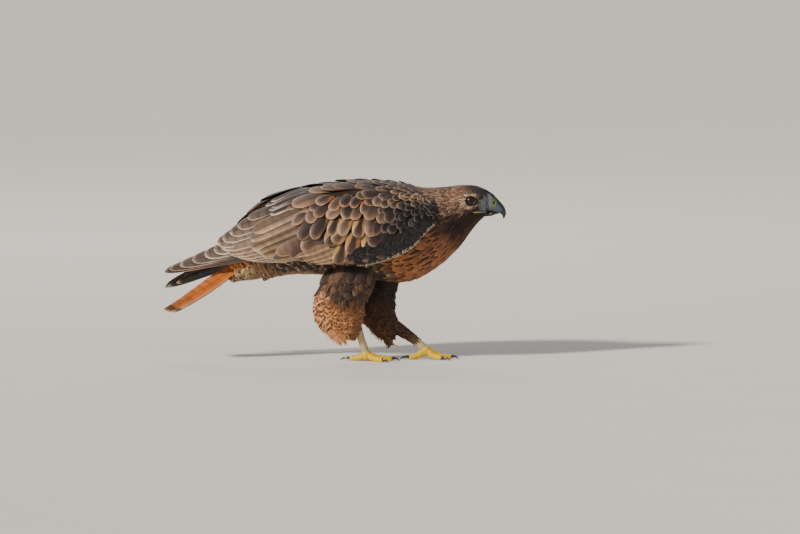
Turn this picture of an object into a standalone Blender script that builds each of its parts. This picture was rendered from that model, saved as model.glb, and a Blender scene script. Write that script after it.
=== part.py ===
"""A red-tailed hawk at life size, walking with its head low, as a still museum model.

The bird faces +X and stands on the floor at Z = 0. All sizes are in millimetres, and solid()
turns them into metres. Its right side is at -Y.
"""

import math

import bmesh
import bpy
import numpy as np
from mathutils import Matrix, Vector

MM = 0.001
GAP = 0.3
# How much a cutter is grown, so that its flat facets still leave the gap.
FIT = 0.55
RIGHT, LEFT = -1, 1
SIDE_NAMES = {RIGHT: "right", LEFT: "left"}

# The trunk from tail root to face, as oval sections across one bent axis:
# x, z, pitch of the axis in degrees, height above it, depth below it, half width.
TRUNK = np.array(
    [
        (-140, 157, 31, 20, 40, 28),  # tail root
        (-112, 165, 22, 40, 39, 42),  # rump
        (-76, 177, 12, 56, 46, 55),  # loin
        (-34, 188, 6, 68, 58, 64),  # flank
        (10, 194, 2, 71, 68, 69),  # belly
        (50, 198, 3, 70, 76, 71),  # ribs
        (84, 203, 8, 64, 84, 68),  # breast
        (114, 211, 20, 57, 73, 59),  # shoulder
        (140, 219, 32, 49, 57, 46),  # neck base
        (158, 226, 36, 42, 45, 36),  # neck
        (171, 233, 30, 33, 40, 31),  # nape
        (184, 239, 18, 26, 37, 28.5),  # crown
        (199, 240, 4, 22.5, 30, 23),  # brow
        (212, 238, -4, 17.5, 19.5, 13.5),  # lores
    ],
    float,
)
NECK_AT, HEAD_AT, FACE_AT = 7.85, 9.75, 13.0
TRUNK_SIDES = 20
TORSO_RINGS, NECK_RINGS, HEAD_RINGS = 15, 5, 9

# The upper half of the bill from the feathers' edge to the hook's point:
# x, z, pitch in degrees, half height, half width.
BILL = np.array(
    [
        (212.5, 240, -4, 15.5, 11.5),
        (220, 237, -12, 12.6, 9.8),
        (228.5, 231.5, -27, 9.0, 7.4),
        (234.5, 226.5, -52, 6.2, 5.0),
        (238.2, 220.5, -80, 3.4, 2.8),
        (238.0, 213.9, -96, 0.6, 0.6),
    ],
    float,
)
CERE_END = 1.62
LOWER_BILL = np.array(
    [
        (211.2, 220.9, -4, 2.7, 8.6),
        (222, 221.2, 2, 1.9, 5.8),
        (229.5, 221.4, 4, 0.6, 2.2),
    ],
    float,
)
NOSTRIL = (224.0, 238.0)
NOSTRIL_RADIUS, NOSTRIL_DEPTH = 1.3, 3.0
MOUTH_Z, MOUTH_BACK, MOUTH_SLOT = 224.0, 191.0, 0.8

EYE = (189.0, 20.2, 241.0)
EYE_RADIUS = 9.5
LID_RING, LID_THICKNESS, LID_OUT = 8.1, 1.5, 6.6
BROW = (193.0, 24.0, 249.6)
BROW_SIZE = (17.0, 4.8, 3.6)
BROW_SLOPE = -8

# The surface that the folded wings lie in, as upright sections every CLOAK_STEP from
# CLOAK_FRONT back to past the wing tips: middle z, height above, depth below, half width,
# and the upper and lower edge of the wing's flesh in degrees from the bird's back.
CLOAK_FRONT, CLOAK_STEP = 140.0, 40.0
CLOAK = np.array(
    [
        (215, 42, 40, 50, 46, 94),
        (205, 62, 70, 76, 27, 113),
        (200, 72, 72, 86, 20, 124),
        (198, 76, 72, 90, 18, 131),
        (196, 74, 70, 88, 20, 133),
        (192, 70, 66, 82, 24, 131),
        (184, 60, 58, 70, 32, 124),
        (172, 50, 46, 56, 40, 110),
        (160.5, 40, 36, 44, 40, 90),
        (149.5, 32, 28, 35, 40, 90),
        (138.5, 26, 22, 28.5, 40, 90),
        (127.5, 21, 18, 23, 40, 90),
    ],
    float,
)
# The far wing hangs lower behind the body, and its innermost feathers stand up.
DROOP_FROM, DROOP_DEG, DROOP_BEND = -100.0, 8.5, 80.0
TERTIAL_RISE, TERTIAL_AT, TERTIAL_REACH = 12.0, (-128.0, 24.0), (60.0, 26.0)
ARM_FRONT, ARM_BACK = 136.0, -104.0
ARM_LENGTHS, ARM_ROUNDS = 8, 5
ARM_DEPTH, ARM_EDGE_DEPTH, ARM_UNDER = 18.0, 3.2, 3.0

# Each tier of wing feathers: count, then root and tip of its first and last vane as
# (x, degrees from the back), widths of both, height of both over the wing's surface at
# their tips, and how much lower their roots lie.
WING_TIERS = {
    "primaries": (6, (-66, 114), (-76, 80), (-272, 92), (-250, 36), 23, 27, -15.4, -8.4, 0),
    "secondaries": (6, (10, 122), (-36, 80), (-124, 124), (-186, 62), 25, 28, -7.0, -1.0, 5),
    "tertials": (3, (-36, 68), (-50, 42), (-190, 46), (-152, 29), 32, 28, 0.2, 2.6, 11),
    "greater_coverts": (6, (74, 100), (-42, 58), (40, 124), (-98, 60), 27, 31, 0, 0, 7),
    "median_coverts": (6, (92, 90), (-10, 48), (70, 112), (-58, 50), 24, 29, 1.2, 1.2, 8.2),
    "lesser_coverts": (5, (108, 78), (24, 39), (90, 102), (-24, 47), 24, 30, 2.2, 2.2, 9.2),
    "scapulars": (4, (84, 36), (-14, 33), (38, 42), (-76, 37), 31, 34, 3.2, 3.2, 9.6),
    "mantle": (3, (88, 25), (-14, 24), (46, 18), (-70, 20), 26, 26, 3.2, 3.2, 9.6),
}
FLIGHT_TIERS = ("primaries", "secondaries", "tertials")
# A vane's outline: how far along it each row lies, and its width there as a share.
FLIGHT_ROWS = ((0, 0.5), (0.45, 1.0), (0.9, 0.8), (1.0, 0.25))
COVERT_ROWS = ((0, 0.5), (0.62, 1.0), (1.0, 0.42))
VANE_THICKNESS, VANE_STEP, VANE_KEEL = 0.6, 1.0, 0.2
# Past THIN_FROM the stack of feathers grows thinner, down to THIN_LEAST of its height.
THIN_FROM, THIN_TO, THIN_LEAST = -150.0, -270.0, 0.72

# The tail: a closed fan that lies on a roof-shaped surface.
TAIL_START = (-140.0, 157.0)
TAIL_DROP_DEG, TAIL_ROLL_DEG = 31.0, 9.0
TAIL_PAIRS, TAIL_LENGTH, TAIL_WIDTH = 6, 155.0, 25.0
TAIL_SPREAD_DEG, TAIL_STEP_OUT, TAIL_ROOF, TAIL_RIDGE = 0.95, 1.3, 0.24, 10.0
TAIL_LAYER, TAIL_ROUNDING = 1.25, 0.26
TAIL_FIRST = 22.0
# The tail's fleshy core: reach past the torso, share of the torso's end, and how far it sinks.
TAIL_CORE = ((0, 1.0, 0), (18, 0.8, 1), (36, 0.5, 2), (52, 0.16, 1))
TAIL_ROWS = ((0, 0.55), (0.86, 1.0), (1.0, 0.4))
# Coverts at the tail's root: count, start, length, spacing, spread, width, height at the
# root, and how much higher the tips lie.
TAIL_COVERTS = ((3, 8, 58, 9, 3, 24, -17, 4), (3, 6, 46, 12, 4, 26, 11, -4))

# Feathered legs: z, x, y away from the middle, half length, half width.
THIGH = {
    RIGHT: np.array(
        [
            (152, 20, 34, 33, 18),
            (132, 8, 35, 39, 21),
            (110, 0, 32, 37, 22),
            (88, -8, 28, 36, 20),
            (66, -9, 21, 34, 17),
            (49, -6, 17, 26, 13),
            (39, -2, 14, 17, 8),
        ],
        float,
    ),
    LEFT: np.array(
        [
            (152, 50, 34, 33, 18),
            (132, 45, 35, 39, 21),
            (110, 42, 33, 34, 21),
            (88, 42, 30, 30, 19),
            (66, 47, 27, 27, 16),
            (49, 57, 24, 20, 13),
            (38, 62, 22, 12, 8),
        ],
        float,
    ),
}
THIGH_SIDES = 12
LOCK_ROWS = ((0, 0.8), (0.55, 1.0), (1.0, 0.3))
# Each row of loose feathers: place down the thigh, count and length.
LOCK_LEVELS = ((2.5, 5, 30), (3.7, 5, 28), (4.9, 4, 19))
LOCK_WIDTH, LOCK_THICKNESS, LOCK_ROOT, LOCK_BOW = 26.0, 1.1, 2.8, 2.6
# How much a lock hangs straight down and how much it stands out, against lying along the leg.
LOCK_DROP, LOCK_OUT = 1.3, 0.12

# Bare or thinly feathered shanks, as (x, y, z, radius) from the heel to the foot.
SHANK = {
    RIGHT: ((15, -13, 60, 6.4), (20.5, -10.6, 45, 5.6), (25.5, -8.4, 30, 4.8), (31, -6, 13, 5.2)),
    LEFT: ((58, 24, 60, 9.6), (80, 23.5, 46, 8.8), (102, 22.5, 31, 6.2), (117, 22, 20, 5.4)),
}
SCUTES, SCUTE_RISE = 5, 0.5

# Feet: the ball of the foot, then each toe's heading in degrees outward from +X, its
# length, its radius at root and tip, and its claw's length.
BALL = {RIGHT: (32.0, -6.0, 9.0), LEFT: (121.0, 22.0, 13.0)}
BALL_RADIUS = 8.0
TOES = (
    (194, 26.0, 5.0, 4.0, 19.0),
    (-34, 30.0, 5.0, 4.0, 19.0),
    (2, 39.0, 5.0, 3.8, 15.0),
    (38, 32.0, 4.8, 3.6, 13.0),
)
TOE_SINK, TOE_RINGS = 0.7, 5
CLAW_RADIUS, CLAW_RISE_DEG, CLAW_CURL_DEG, CLAW_SINK = 2.6, 16, 66, 2.0
CLAW_STEPS, CLAW_RINGS, CLAW_SIDES, CLAW_TAPER, CLAW_CLEAR = 7, 6, 6, 0.9, 0.05
PAD_SWELL = 0.12

SHARP_DEG = 40
COLOURS = {
    "torso": (0.20, 0.11, 0.06),
    "neck": (0.16, 0.09, 0.05),
    "head": (0.18, 0.10, 0.06),
    "eye": (0.03, 0.015, 0.01),
    "cere": (0.42, 0.40, 0.12),
    "bill": (0.05, 0.06, 0.07),
    "wing": (0.10, 0.065, 0.045),
    "tail": (0.50, 0.17, 0.05),
    "thigh": (0.27, 0.13, 0.06),
    "shank": (0.62, 0.50, 0.16),
    "foot": (0.75, 0.55, 0.08),
    "claw": (0.02, 0.02, 0.022),
}
ROUGHNESS = {"eye": 0.05, "bill": 0.35, "cere": 0.45, "claw": 0.3}


def row_at(rows, s):
    """The row at place s of a table, counted in rows, on a smooth curve through them."""
    last = len(rows) - 1
    i = min(max(int(math.floor(s)), 0), last - 1)
    t = s - i
    a, b, c, d = (np.asarray(rows[min(max(k, 0), last)], float) for k in range(i - 1, i + 3))
    return 0.5 * (
        2 * b + (c - a) * t + (2 * a - 5 * b + 4 * c - d) * t**2 + (3 * b - a - 3 * c + d) * t**3
    )


def trunk_point(s, angle, grow=0.0):
    """A point of the trunk's surface, angle in radians from the back, grown outwards."""
    x, z, pitch, up, down, wide = row_at(TRUNK, s)
    pitch = math.radians(pitch)
    rise = math.cos(angle) * ((up if math.cos(angle) > 0 else down) + grow)
    return np.array(
        [
            x - math.sin(pitch) * rise,
            math.sin(angle) * (wide + grow),
            z + math.cos(pitch) * rise,
        ]
    )


def cloak_point(x, degrees, side):
    """A point of the surface that a folded wing lies in."""
    middle, up, down, wide = row_at(CLOAK, (CLOAK_FRONT - x) / CLOAK_STEP)[:4]
    angle = math.radians(degrees)
    rise = math.cos(angle) * (up if math.cos(angle) > 0 else down)
    point = np.array([x, side * math.sin(angle) * wide, middle + rise])
    if side == LEFT and x < DROOP_FROM:
        back = DROOP_FROM - x
        point[2] -= math.tan(math.radians(DROOP_DEG)) * back * min(back / DROOP_BEND, 1)
    if side == LEFT:
        near = max(0.0, 1 - abs(x - TERTIAL_AT[0]) / TERTIAL_REACH[0])
        inner = max(0.0, 1 - abs(degrees - TERTIAL_AT[1]) / TERTIAL_REACH[1])
        point[2] += TERTIAL_RISE * near * inner
    return point


def cloak_normal(x, degrees, side):
    along = cloak_point(x - 2, degrees, side) - cloak_point(x + 2, degrees, side)
    round_ = cloak_point(x, degrees + 2, side) - cloak_point(x, degrees - 2, side)
    normal = np.cross(round_, along) * side
    return normal / np.linalg.norm(normal)


def cloak_radius(x, degrees, side):
    """Millimetres along the wing's surface for one degree round it."""
    step = cloak_point(x, degrees + 1, side) - cloak_point(x, degrees - 1, side)
    return np.linalg.norm(step) / 2


def material(kind):
    found = bpy.data.materials.get(kind)
    if found:
        return found
    made = bpy.data.materials.new(kind)
    made.use_nodes = True
    shader = made.node_tree.nodes["Principled BSDF"]
    shader.inputs["Base Color"].default_value = (*COLOURS[kind], 1)
    shader.inputs["Roughness"].default_value = ROUGHNESS.get(kind, 0.75)
    shader.inputs["Metallic"].default_value = 0.0
    return made


def solid(name, points, faces, kind="torso"):
    """A mesh object from points in millimetres, its faces pointing outwards."""
    mesh = bpy.data.meshes.new(name)
    mesh.from_pydata([tuple(float(c) * MM for c in p) for p in points], [], faces)
    shape = bmesh.new()
    shape.from_mesh(mesh)
    bmesh.ops.recalc_face_normals(shape, faces=shape.faces)
    if shape.calc_volume(signed=True) < 0:
        bmesh.ops.reverse_faces(shape, faces=shape.faces)
    shape.to_mesh(mesh)
    shape.free()
    mesh.materials.append(material(kind))
    made = bpy.data.objects.new(name, mesh)
    bpy.context.scene.collection.objects.link(made)
    return made


def tube(name, rings, kind="torso"):
    """A closed body through rings of equally many points."""
    count = len(rings[0])
    points = [p for ring in rings for p in ring]
    faces = [tuple(range(count))[::-1]]
    for i in range(len(rings) - 1):
        for j in range(count):
            k = (j + 1) % count
            here, after = i * count, (i + 1) * count
            faces.append((here + j, here + k, after + k))
            faces.append((here + j, after + k, after + j))
    faces.append(tuple((len(rings) - 1) * count + j for j in range(count)))
    return solid(name, points, faces, kind)


def plate(name, top, bottom, kind="wing"):
    """A closed thin body between two grids of points, cut into triangles alike on both."""
    rows, columns = len(top), len(top[0])
    points = [p for row in top for p in row] + [p for row in bottom for p in row]
    under = rows * columns
    faces = []
    for i in range(rows - 1):
        for j in range(columns - 1):
            a, b = i * columns + j, i * columns + j + 1
            c, d = b + columns, a + columns
            for p, q, r in ((a, b, c), (a, c, d)):
                faces.append((p, q, r))
                faces.append((p + under, r + under, q + under))
    rim = list(range(columns))
    rim += [i * columns + columns - 1 for i in range(1, rows)]
    rim += [(rows - 1) * columns + j for j in range(columns - 2, -1, -1)]
    rim += [i * columns for i in range(rows - 2, 0, -1)]
    for here, after in zip(rim, rim[1:] + rim[:1]):
        faces.append((here, here + under, after + under))
        faces.append((here, after + under, after))
    return solid(name, points, faces, kind)


def ball(name, centre, radii, kind="torso", turn=None, rings=8, sides=14):
    """A closed ellipsoid with its poles along Y."""
    points = []
    for i in range(1, rings):
        polar = math.pi * i / rings
        for j in range(sides):
            round_ = 2 * math.pi * j / sides
            points.append(
                Vector(
                    (
                        radii[0] * math.sin(polar) * math.cos(round_),
                        -radii[1] * math.cos(polar),
                        radii[2] * math.sin(polar) * math.sin(round_),
                    )
                )
            )
    poles = [Vector((0, -radii[1], 0)), Vector((0, radii[1], 0))]
    faces = []
    for i in range(rings - 2):
        for j in range(sides):
            k = (j + 1) % sides
            faces.append((i * sides + j, i * sides + k, (i + 1) * sides + k, (i + 1) * sides + j))
    last = (rings - 2) * sides
    for j in range(sides):
        k = (j + 1) % sides
        faces.append((len(points), k, j))
        faces.append((len(points) + 1, last + j, last + k))
    turn = turn or Matrix.Identity(3)
    moved = [turn @ p + Vector(centre) for p in points + poles]
    return solid(name, moved, faces, kind)


def combine(target, others, operation, solver="EXACT"):
    """Joins closed bodies to target, or cuts them from it, then removes them."""
    group = bpy.data.collections.new("pieces")
    bpy.context.scene.collection.children.link(group)
    for other in others:
        bpy.context.scene.collection.objects.unlink(other)
        group.objects.link(other)
    step = target.modifiers.new("combine", "BOOLEAN")
    step.operation = operation
    step.operand_type = "COLLECTION"
    step.collection = group
    step.solver = solver
    bpy.context.view_layer.update()
    graph = bpy.context.evaluated_depsgraph_get()
    joined = bpy.data.meshes.new_from_object(target.evaluated_get(graph))
    target.modifiers.remove(step)
    target.data = joined
    for other in others:
        bpy.data.objects.remove(other)
    bpy.data.collections.remove(group)
    keep_largest(target)
    return target


def keep_largest(target):
    """Drops every closed surface of a mesh but the one with the largest volume."""
    shape = bmesh.new()
    shape.from_mesh(target.data)
    bmesh.ops.triangulate(shape, faces=shape.faces)
    left = set(shape.faces)
    surfaces = []
    while left:
        found = {left.pop()}
        edge = list(found)
        while edge:
            face = edge.pop()
            for line in face.edges:
                for near in line.link_faces:
                    if near in left:
                        left.discard(near)
                        found.add(near)
                        edge.append(near)
        surfaces.append(found)
    if len(surfaces) > 1:
        sizes = [abs(sum(volume_under(f) for f in found)) for found in surfaces]
        largest = surfaces[sizes.index(max(sizes))]
        loose = [f for found in surfaces if found is not largest for f in found]
        bmesh.ops.delete(shape, geom=loose, context="FACES")
    shape.to_mesh(target.data)
    shape.free()


def volume_under(face):
    a, b, c = (v.co for v in face.verts[:3])
    return a.dot(b.cross(c)) / 6


def trunk_rings(start, end, count, grow=0.0, sides=TRUNK_SIDES):
    return [
        [trunk_point(s, 2 * math.pi * j / sides, grow) for j in range(sides)]
        for s in np.linspace(start, end, count)
    ]


def past(rings, distance, at_start):
    """Moves the first or last ring along the body's length, to leave or make a gap."""
    here, there = (0, 1) if at_start else (-1, -2)
    way = np.mean(rings[here], axis=0) - np.mean(rings[there], axis=0)
    corner = np.array(rings[here])
    across = np.cross(corner[5] - corner[0], corner[10] - corner[0])
    across = across / np.linalg.norm(across)
    across = across if across @ way > 0 else -across
    rings[here] = [p + across * distance for p in rings[here]]
    return rings


def build_torso():
    return tube("torso", trunk_rings(0, NECK_AT, TORSO_RINGS), "torso")


def trunk_cutter():
    """The torso and neck grown by the gap, for what lies against them."""
    rings = past(trunk_rings(0, NECK_AT, TORSO_RINGS, FIT), GAP, True)
    return tube("trunk_cutter", rings + trunk_rings(NECK_AT, HEAD_AT, NECK_RINGS, FIT)[1:])


def build_neck():
    return tube("neck", past(trunk_rings(NECK_AT, HEAD_AT, NECK_RINGS), -GAP, True), "neck")


def eye_centre(side, out=0.0):
    return (EYE[0], side * (EYE[1] + out), EYE[2])


def lid_ring(side, sides=14, tube_sides=4):
    """The raised rim of the eyelids."""
    rings = []
    for i in range(sides):
        round_ = 2 * math.pi * i / sides
        ring = []
        for j in range(tube_sides):
            turn = 2 * math.pi * j / tube_sides
            reach = LID_RING + LID_THICKNESS * math.cos(turn)
            ring.append(
                (
                    EYE[0] + reach * math.cos(round_),
                    side * (EYE[1] + LID_OUT + LID_THICKNESS * math.sin(turn)),
                    EYE[2] + 0.86 * reach * math.sin(round_),
                )
            )
        rings.append(ring)
    points = [p for ring in rings for p in ring]
    faces = []
    for i in range(sides):
        after = (i + 1) % sides
        for j in range(tube_sides):
            k = (j + 1) % tube_sides
            faces.append(
                (i * tube_sides + j, i * tube_sides + k, after * tube_sides + k, after * tube_sides + j)
            )
    return solid("lid", points, faces)


def box(name, low, high):
    points = [(x, y, z) for x in (low[0], high[0]) for y in (low[1], high[1]) for z in (low[2], high[2])]
    faces = [(0, 1, 3, 2), (4, 6, 7, 5), (0, 4, 5, 1), (2, 3, 7, 6), (0, 2, 6, 4), (1, 5, 7, 3)]
    return solid(name, points, faces)


def build_head():
    head = tube("head", past(trunk_rings(HEAD_AT, FACE_AT, HEAD_RINGS), -GAP, True), "head")
    raised = []
    for side in (RIGHT, LEFT):
        raised.append(lid_ring(side))
        slope = Matrix.Rotation(math.radians(-BROW_SLOPE), 3, "Y")
        centre = (BROW[0], side * BROW[1], BROW[2])
        raised.append(ball("brow", centre, BROW_SIZE, turn=slope, rings=6, sides=8))
    combine(head, raised, "UNION")
    socket = EYE_RADIUS + FIT
    cutters = [ball("socket", eye_centre(side), (socket,) * 3, rings=8, sides=14) for side in (RIGHT, LEFT)]
    low = (MOUTH_BACK, -40, MOUTH_Z - MOUTH_SLOT / 2)
    high = (FACE_AT + 240, 40, MOUTH_Z + MOUTH_SLOT / 2)
    cutters.append(box("mouth", low, high))
    return combine(head, cutters, "DIFFERENCE")


def build_eye(side):
    name = "eye_" + SIDE_NAMES[side]
    return ball(name, eye_centre(side), (EYE_RADIUS,) * 3, "eye", rings=8, sides=14)


def bill_rings(rows, start, end, count, sides=12):
    rings = []
    for s in np.linspace(start, end, count):
        x, z, pitch, high, wide = row_at(rows, s)
        pitch = math.radians(pitch)
        ring = []
        for j in range(sides):
            angle = 2 * math.pi * j / sides
            rise = math.cos(angle) * high
            ring.append(
                (x - math.sin(pitch) * rise, math.sin(angle) * wide, z + math.cos(pitch) * rise)
            )
        rings.append(ring)
    return rings


def build_bill():
    cere = tube("cere", bill_rings(BILL, 0, CERE_END, 5), "cere")
    holes = []
    for side in (RIGHT, LEFT):
        wide = row_at(BILL, CERE_END)[4]
        centre = (NOSTRIL[0], side * (wide + NOSTRIL_DEPTH / 2), NOSTRIL[1])
        size = (NOSTRIL_RADIUS, NOSTRIL_DEPTH * 1.4, NOSTRIL_RADIUS * 1.2)
        holes.append(ball("nostril", centre, size, rings=6, sides=10))
    combine(cere, holes, "DIFFERENCE")
    rings = bill_rings(BILL, CERE_END, len(BILL) - 1, 9)
    tube("bill_upper", past(rings, -GAP, True), "bill")
    tube("bill_lower", bill_rings(LOWER_BILL, 0, len(LOWER_BILL) - 1, 4), "bill")


def arm(side):
    """The wing's flesh: a patch of the cloak, thick at the arm and thin at its edges."""
    top, bottom = [], []
    for i in range(ARM_LENGTHS):
        along = i / (ARM_LENGTHS - 1)
        x = ARM_FRONT + (ARM_BACK - ARM_FRONT) * along
        upper, lower = row_at(CLOAK, (CLOAK_FRONT - x) / CLOAK_STEP)[4:6]
        ends = 1 - max(0, 1 - along * 7) * 0.36 - max(0, (along - 0.75) * 4) * 0.2
        middle, half = (upper + lower) / 2, (lower - upper) / 2 * ends
        outer, inner = [], []
        for j in range(ARM_ROUNDS):
            across = 2 * j / (ARM_ROUNDS - 1) - 1
            degrees = middle + half * across
            point = cloak_point(x, degrees, side)
            normal = cloak_normal(x, degrees, side)
            body = (1 - across**4) * min(1, along * 6 + 0.25) * min(1, (1 - along) * 4 + 0.35)
            depth = ARM_EDGE_DEPTH + (ARM_DEPTH - ARM_EDGE_DEPTH) * body
            sink = ARM_UNDER + 2.6 * max(0.0, along - 0.55) / 0.45
            outer.append(point - normal * sink)
            inner.append(point - normal * (sink + depth))
        top.append(outer)
        bottom.append(inner)
    return plate("wing_" + SIDE_NAMES[side], top, bottom, "wing")


def thinned(x):
    """The share of a feather's depth in the wing that is left towards the wing's tip."""
    share = min(max((THIN_FROM - x) / (THIN_FROM - THIN_TO), 0), 1)
    return 1 - (1 - THIN_LEAST) * share


def wing_vane(side, root, tip, width, lift, drop, roll, rows):
    """One feather of a wing, from root to tip over the cloak's surface."""
    top, bottom = [], []
    for along, share in rows:
        x = root[0] + (tip[0] - root[0]) * along
        degrees = root[1] + (tip[1] - root[1]) * along
        turn = cloak_radius(x, degrees, side)
        back, down = root[0] - tip[0], (tip[1] - root[1]) * turn
        length = math.hypot(back, down)
        height = (lift - drop * (1 - along) ** 1.5) * thinned(x)
        upper, lower = [], []
        for across in (-1, 0, 1):
            aside = across * share * width / 2
            here_x = x + aside * down / length
            here = degrees + aside * back / length / turn
            normal = cloak_normal(here_x, here, side)
            level = height + roll * aside + VANE_KEEL * (1 - abs(across))
            point = cloak_point(here_x, here, side) + normal * level
            upper.append(point + normal * VANE_THICKNESS / 2)
            lower.append(point - normal * VANE_THICKNESS / 2)
        top.append(upper)
        bottom.append(lower)
    return plate("vane", top, bottom)


def build_wing(side):
    wing = arm(side)
    vanes = []
    for name, tier in WING_TIERS.items():
        count, root_a, root_b, tip_a, tip_b, width_a, width_b, lift_a, lift_b, drop = tier
        flight = name in FLIGHT_TIERS
        spacing = math.dist(root_a, root_b) / (count - 1)
        roll = 0 if flight else VANE_STEP / spacing
        for i in range(count):
            share = i / (count - 1)
            root = [a + (b - a) * share for a, b in zip(root_a, root_b)]
            tip = [a + (b - a) * share for a, b in zip(tip_a, tip_b)]
            width = width_a + (width_b - width_a) * share
            lift = lift_a + (lift_b - lift_a) * share
            rows = FLIGHT_ROWS if flight else COVERT_ROWS
            vanes.append(wing_vane(side, root, tip, width, lift, drop, roll, rows))
    combine(wing, vanes, "UNION", "MANIFOLD")
    return combine(wing, [trunk_cutter()], "DIFFERENCE", "MANIFOLD")


def tail_frame():
    """The tail's back, side and up directions."""
    drop = math.radians(TAIL_DROP_DEG)
    back = Vector((-math.cos(drop), 0, -math.sin(drop)))
    roll = Matrix.Rotation(math.radians(TAIL_ROLL_DEG), 3, back)
    side = roll @ Vector((0, 1, 0))
    up = side.cross(back)
    return back, side, up if up.z > 0 else -up


def tail_point(along, aside, height):
    back, side, up = tail_frame()
    start = Vector((TAIL_START[0], 0, TAIL_START[1]))
    roof = -TAIL_ROOF * (math.hypot(aside, TAIL_RIDGE) - TAIL_RIDGE) * min(1, 0.25 + along / 60)
    return start + back * along + side * aside + up * (roof + height)


def tail_vane(start, length, aside, spread, width, height, lift, rows=TAIL_ROWS):
    """One feather on the tail's roof, from start along it, spread in degrees outwards."""
    top, bottom = [], []
    for along, share in rows:
        reach = start + length * along
        middle = aside + math.tan(math.radians(spread)) * reach
        level = height + lift * along
        upper, lower = [], []
        for across in (-1, 0, 1):
            out = middle + across * share * width / 2
            keel = VANE_KEEL * (1 - abs(across))
            upper.append(tail_point(reach, out, level + keel + VANE_THICKNESS / 2))
            lower.append(tail_point(reach, out, level + keel - VANE_THICKNESS / 2))
        top.append(upper)
        bottom.append(lower)
    return plate("vane", top, bottom)


def build_tail():
    rings = []
    for reach, shrink, sink in TAIL_CORE:
        ring = []
        for point in trunk_rings(0, 0, 1)[0]:
            centre = np.array([TAIL_START[0], 0, TAIL_START[1]])
            back = np.array(tail_frame()[0])
            ring.append(centre + (point - centre) * shrink + back * reach - np.array([0, 0, sink]))
        rings.append(ring)
    rings = past(rings, -GAP, True)
    tail = tube("tail", rings, "tail")
    vanes = []
    for i in range(2 * TAIL_PAIRS):
        place = i - TAIL_PAIRS + 0.5
        length = TAIL_LENGTH - TAIL_FIRST - TAIL_ROUNDING * place**2
        out, spread = place * TAIL_STEP_OUT, place * TAIL_SPREAD_DEG
        vanes.append(tail_vane(TAIL_FIRST, length, out, spread, TAIL_WIDTH, layer(place), 0))
    for count, start, length, step, spread, width, height, rise in TAIL_COVERTS:
        for i in range(count):
            place = i - (count - 1) / 2
            level = height + layer(place)
            vanes.append(
                tail_vane(start, length, place * step, place * spread, width, level, rise, COVERT_ROWS)
            )
    return combine(tail, vanes, "UNION", "MANIFOLD")


def layer(place):
    """How deep a tail feather lies: each is under its inner neighbour and its twin."""
    return -TAIL_LAYER * (2 * abs(place) - 1 + (place < 0)) / 2


def thigh_point(side, s, angle, grow=0.0):
    z, x, y, long, wide = row_at(THIGH[side], s)
    return np.array(
        [x + math.cos(angle) * (long + grow), side * y + math.sin(angle) * (wide + grow), z]
    )


def lock(side, s, angle, length):
    """One loose feather of the trousers, hanging down along the leg from its root."""
    root = thigh_point(side, s, angle, -LOCK_ROOT)
    out = thigh_point(side, s, angle, 4) - thigh_point(side, s, angle, 0)
    out = out / np.linalg.norm(out)
    leg = thigh_point(side, s + 0.5, angle) - thigh_point(side, s, angle)
    down = leg / np.linalg.norm(leg) + np.array([0, 0, -LOCK_DROP]) + out * LOCK_OUT
    down = down / np.linalg.norm(down)
    aside = np.cross(out, down)
    aside = aside / np.linalg.norm(aside)
    out = np.cross(down, aside)
    top, bottom = [], []
    for along, share in LOCK_ROWS:
        middle = root + down * length * along + out * LOCK_BOW * math.sin(math.pi * along * 0.6)
        half = LOCK_THICKNESS / 2 * (1 - 0.45 * along)
        row = [middle + aside * across * share * LOCK_WIDTH / 2 for across in (-1, 0, 1)]
        row[1] = row[1] + out * 0.5
        top.append([p + out * half for p in row])
        bottom.append([p - out * half for p in row])
    return plate("lock", top, bottom)


def build_thigh(side, shank):
    count = len(THIGH[side]) - 1
    rings = [
        [thigh_point(side, s, 2 * math.pi * j / THIGH_SIDES) for j in range(THIGH_SIDES)]
        for s in np.linspace(0, count, count + 1)
    ]
    thigh = tube("thigh_" + SIDE_NAMES[side], rings, "thigh")
    locks = []
    for level, (s, number, length) in enumerate(LOCK_LEVELS):
        for i in range(number):
            angle = 2 * math.pi * (i + 0.5 * ((level + (side == LEFT)) % 2)) / number
            longer = 1 + 0.18 * math.sin(5 * i + 3 * level)
            locks.append(lock(side, s, angle, length * longer))
    combine(thigh, locks, "UNION", "MANIFOLD")
    return combine(thigh, [trunk_cutter(), shank], "DIFFERENCE", "MANIFOLD")


def along_path(path, count):
    """Points, directions and radii along a smooth line through path's (x, y, z, radius)."""
    places = np.linspace(0, len(path) - 1, count)
    rows = [row_at(path, s) for s in places]
    ahead = [row_at(path, min(s + 0.05, len(path) - 1))[:3] for s in places]
    behind = [row_at(path, max(s - 0.05, 0))[:3] for s in places]
    ways = [(a - b) / np.linalg.norm(a - b) for a, b in zip(ahead, behind)]
    return rows, ways


def path_rings(path, count, sides, swell=lambda share: 1.0, grow=0.0):
    rows, ways = along_path(path, count)
    rings = []
    for i, (row, way) in enumerate(zip(rows, ways)):
        side = np.cross(way, (0, 0.02, 1.0) if abs(way[2]) < 0.9 else (1.0, 0, 0.02))
        side = side / np.linalg.norm(side)
        up = np.cross(side, way)
        radius = row[3] * swell(i / (count - 1)) + grow
        rings.append(
            [
                row[:3]
                + radius * (math.cos(2 * math.pi * j / sides) * side + math.sin(2 * math.pi * j / sides) * up)
                for j in range(sides)
            ]
        )
    return rings


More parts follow.
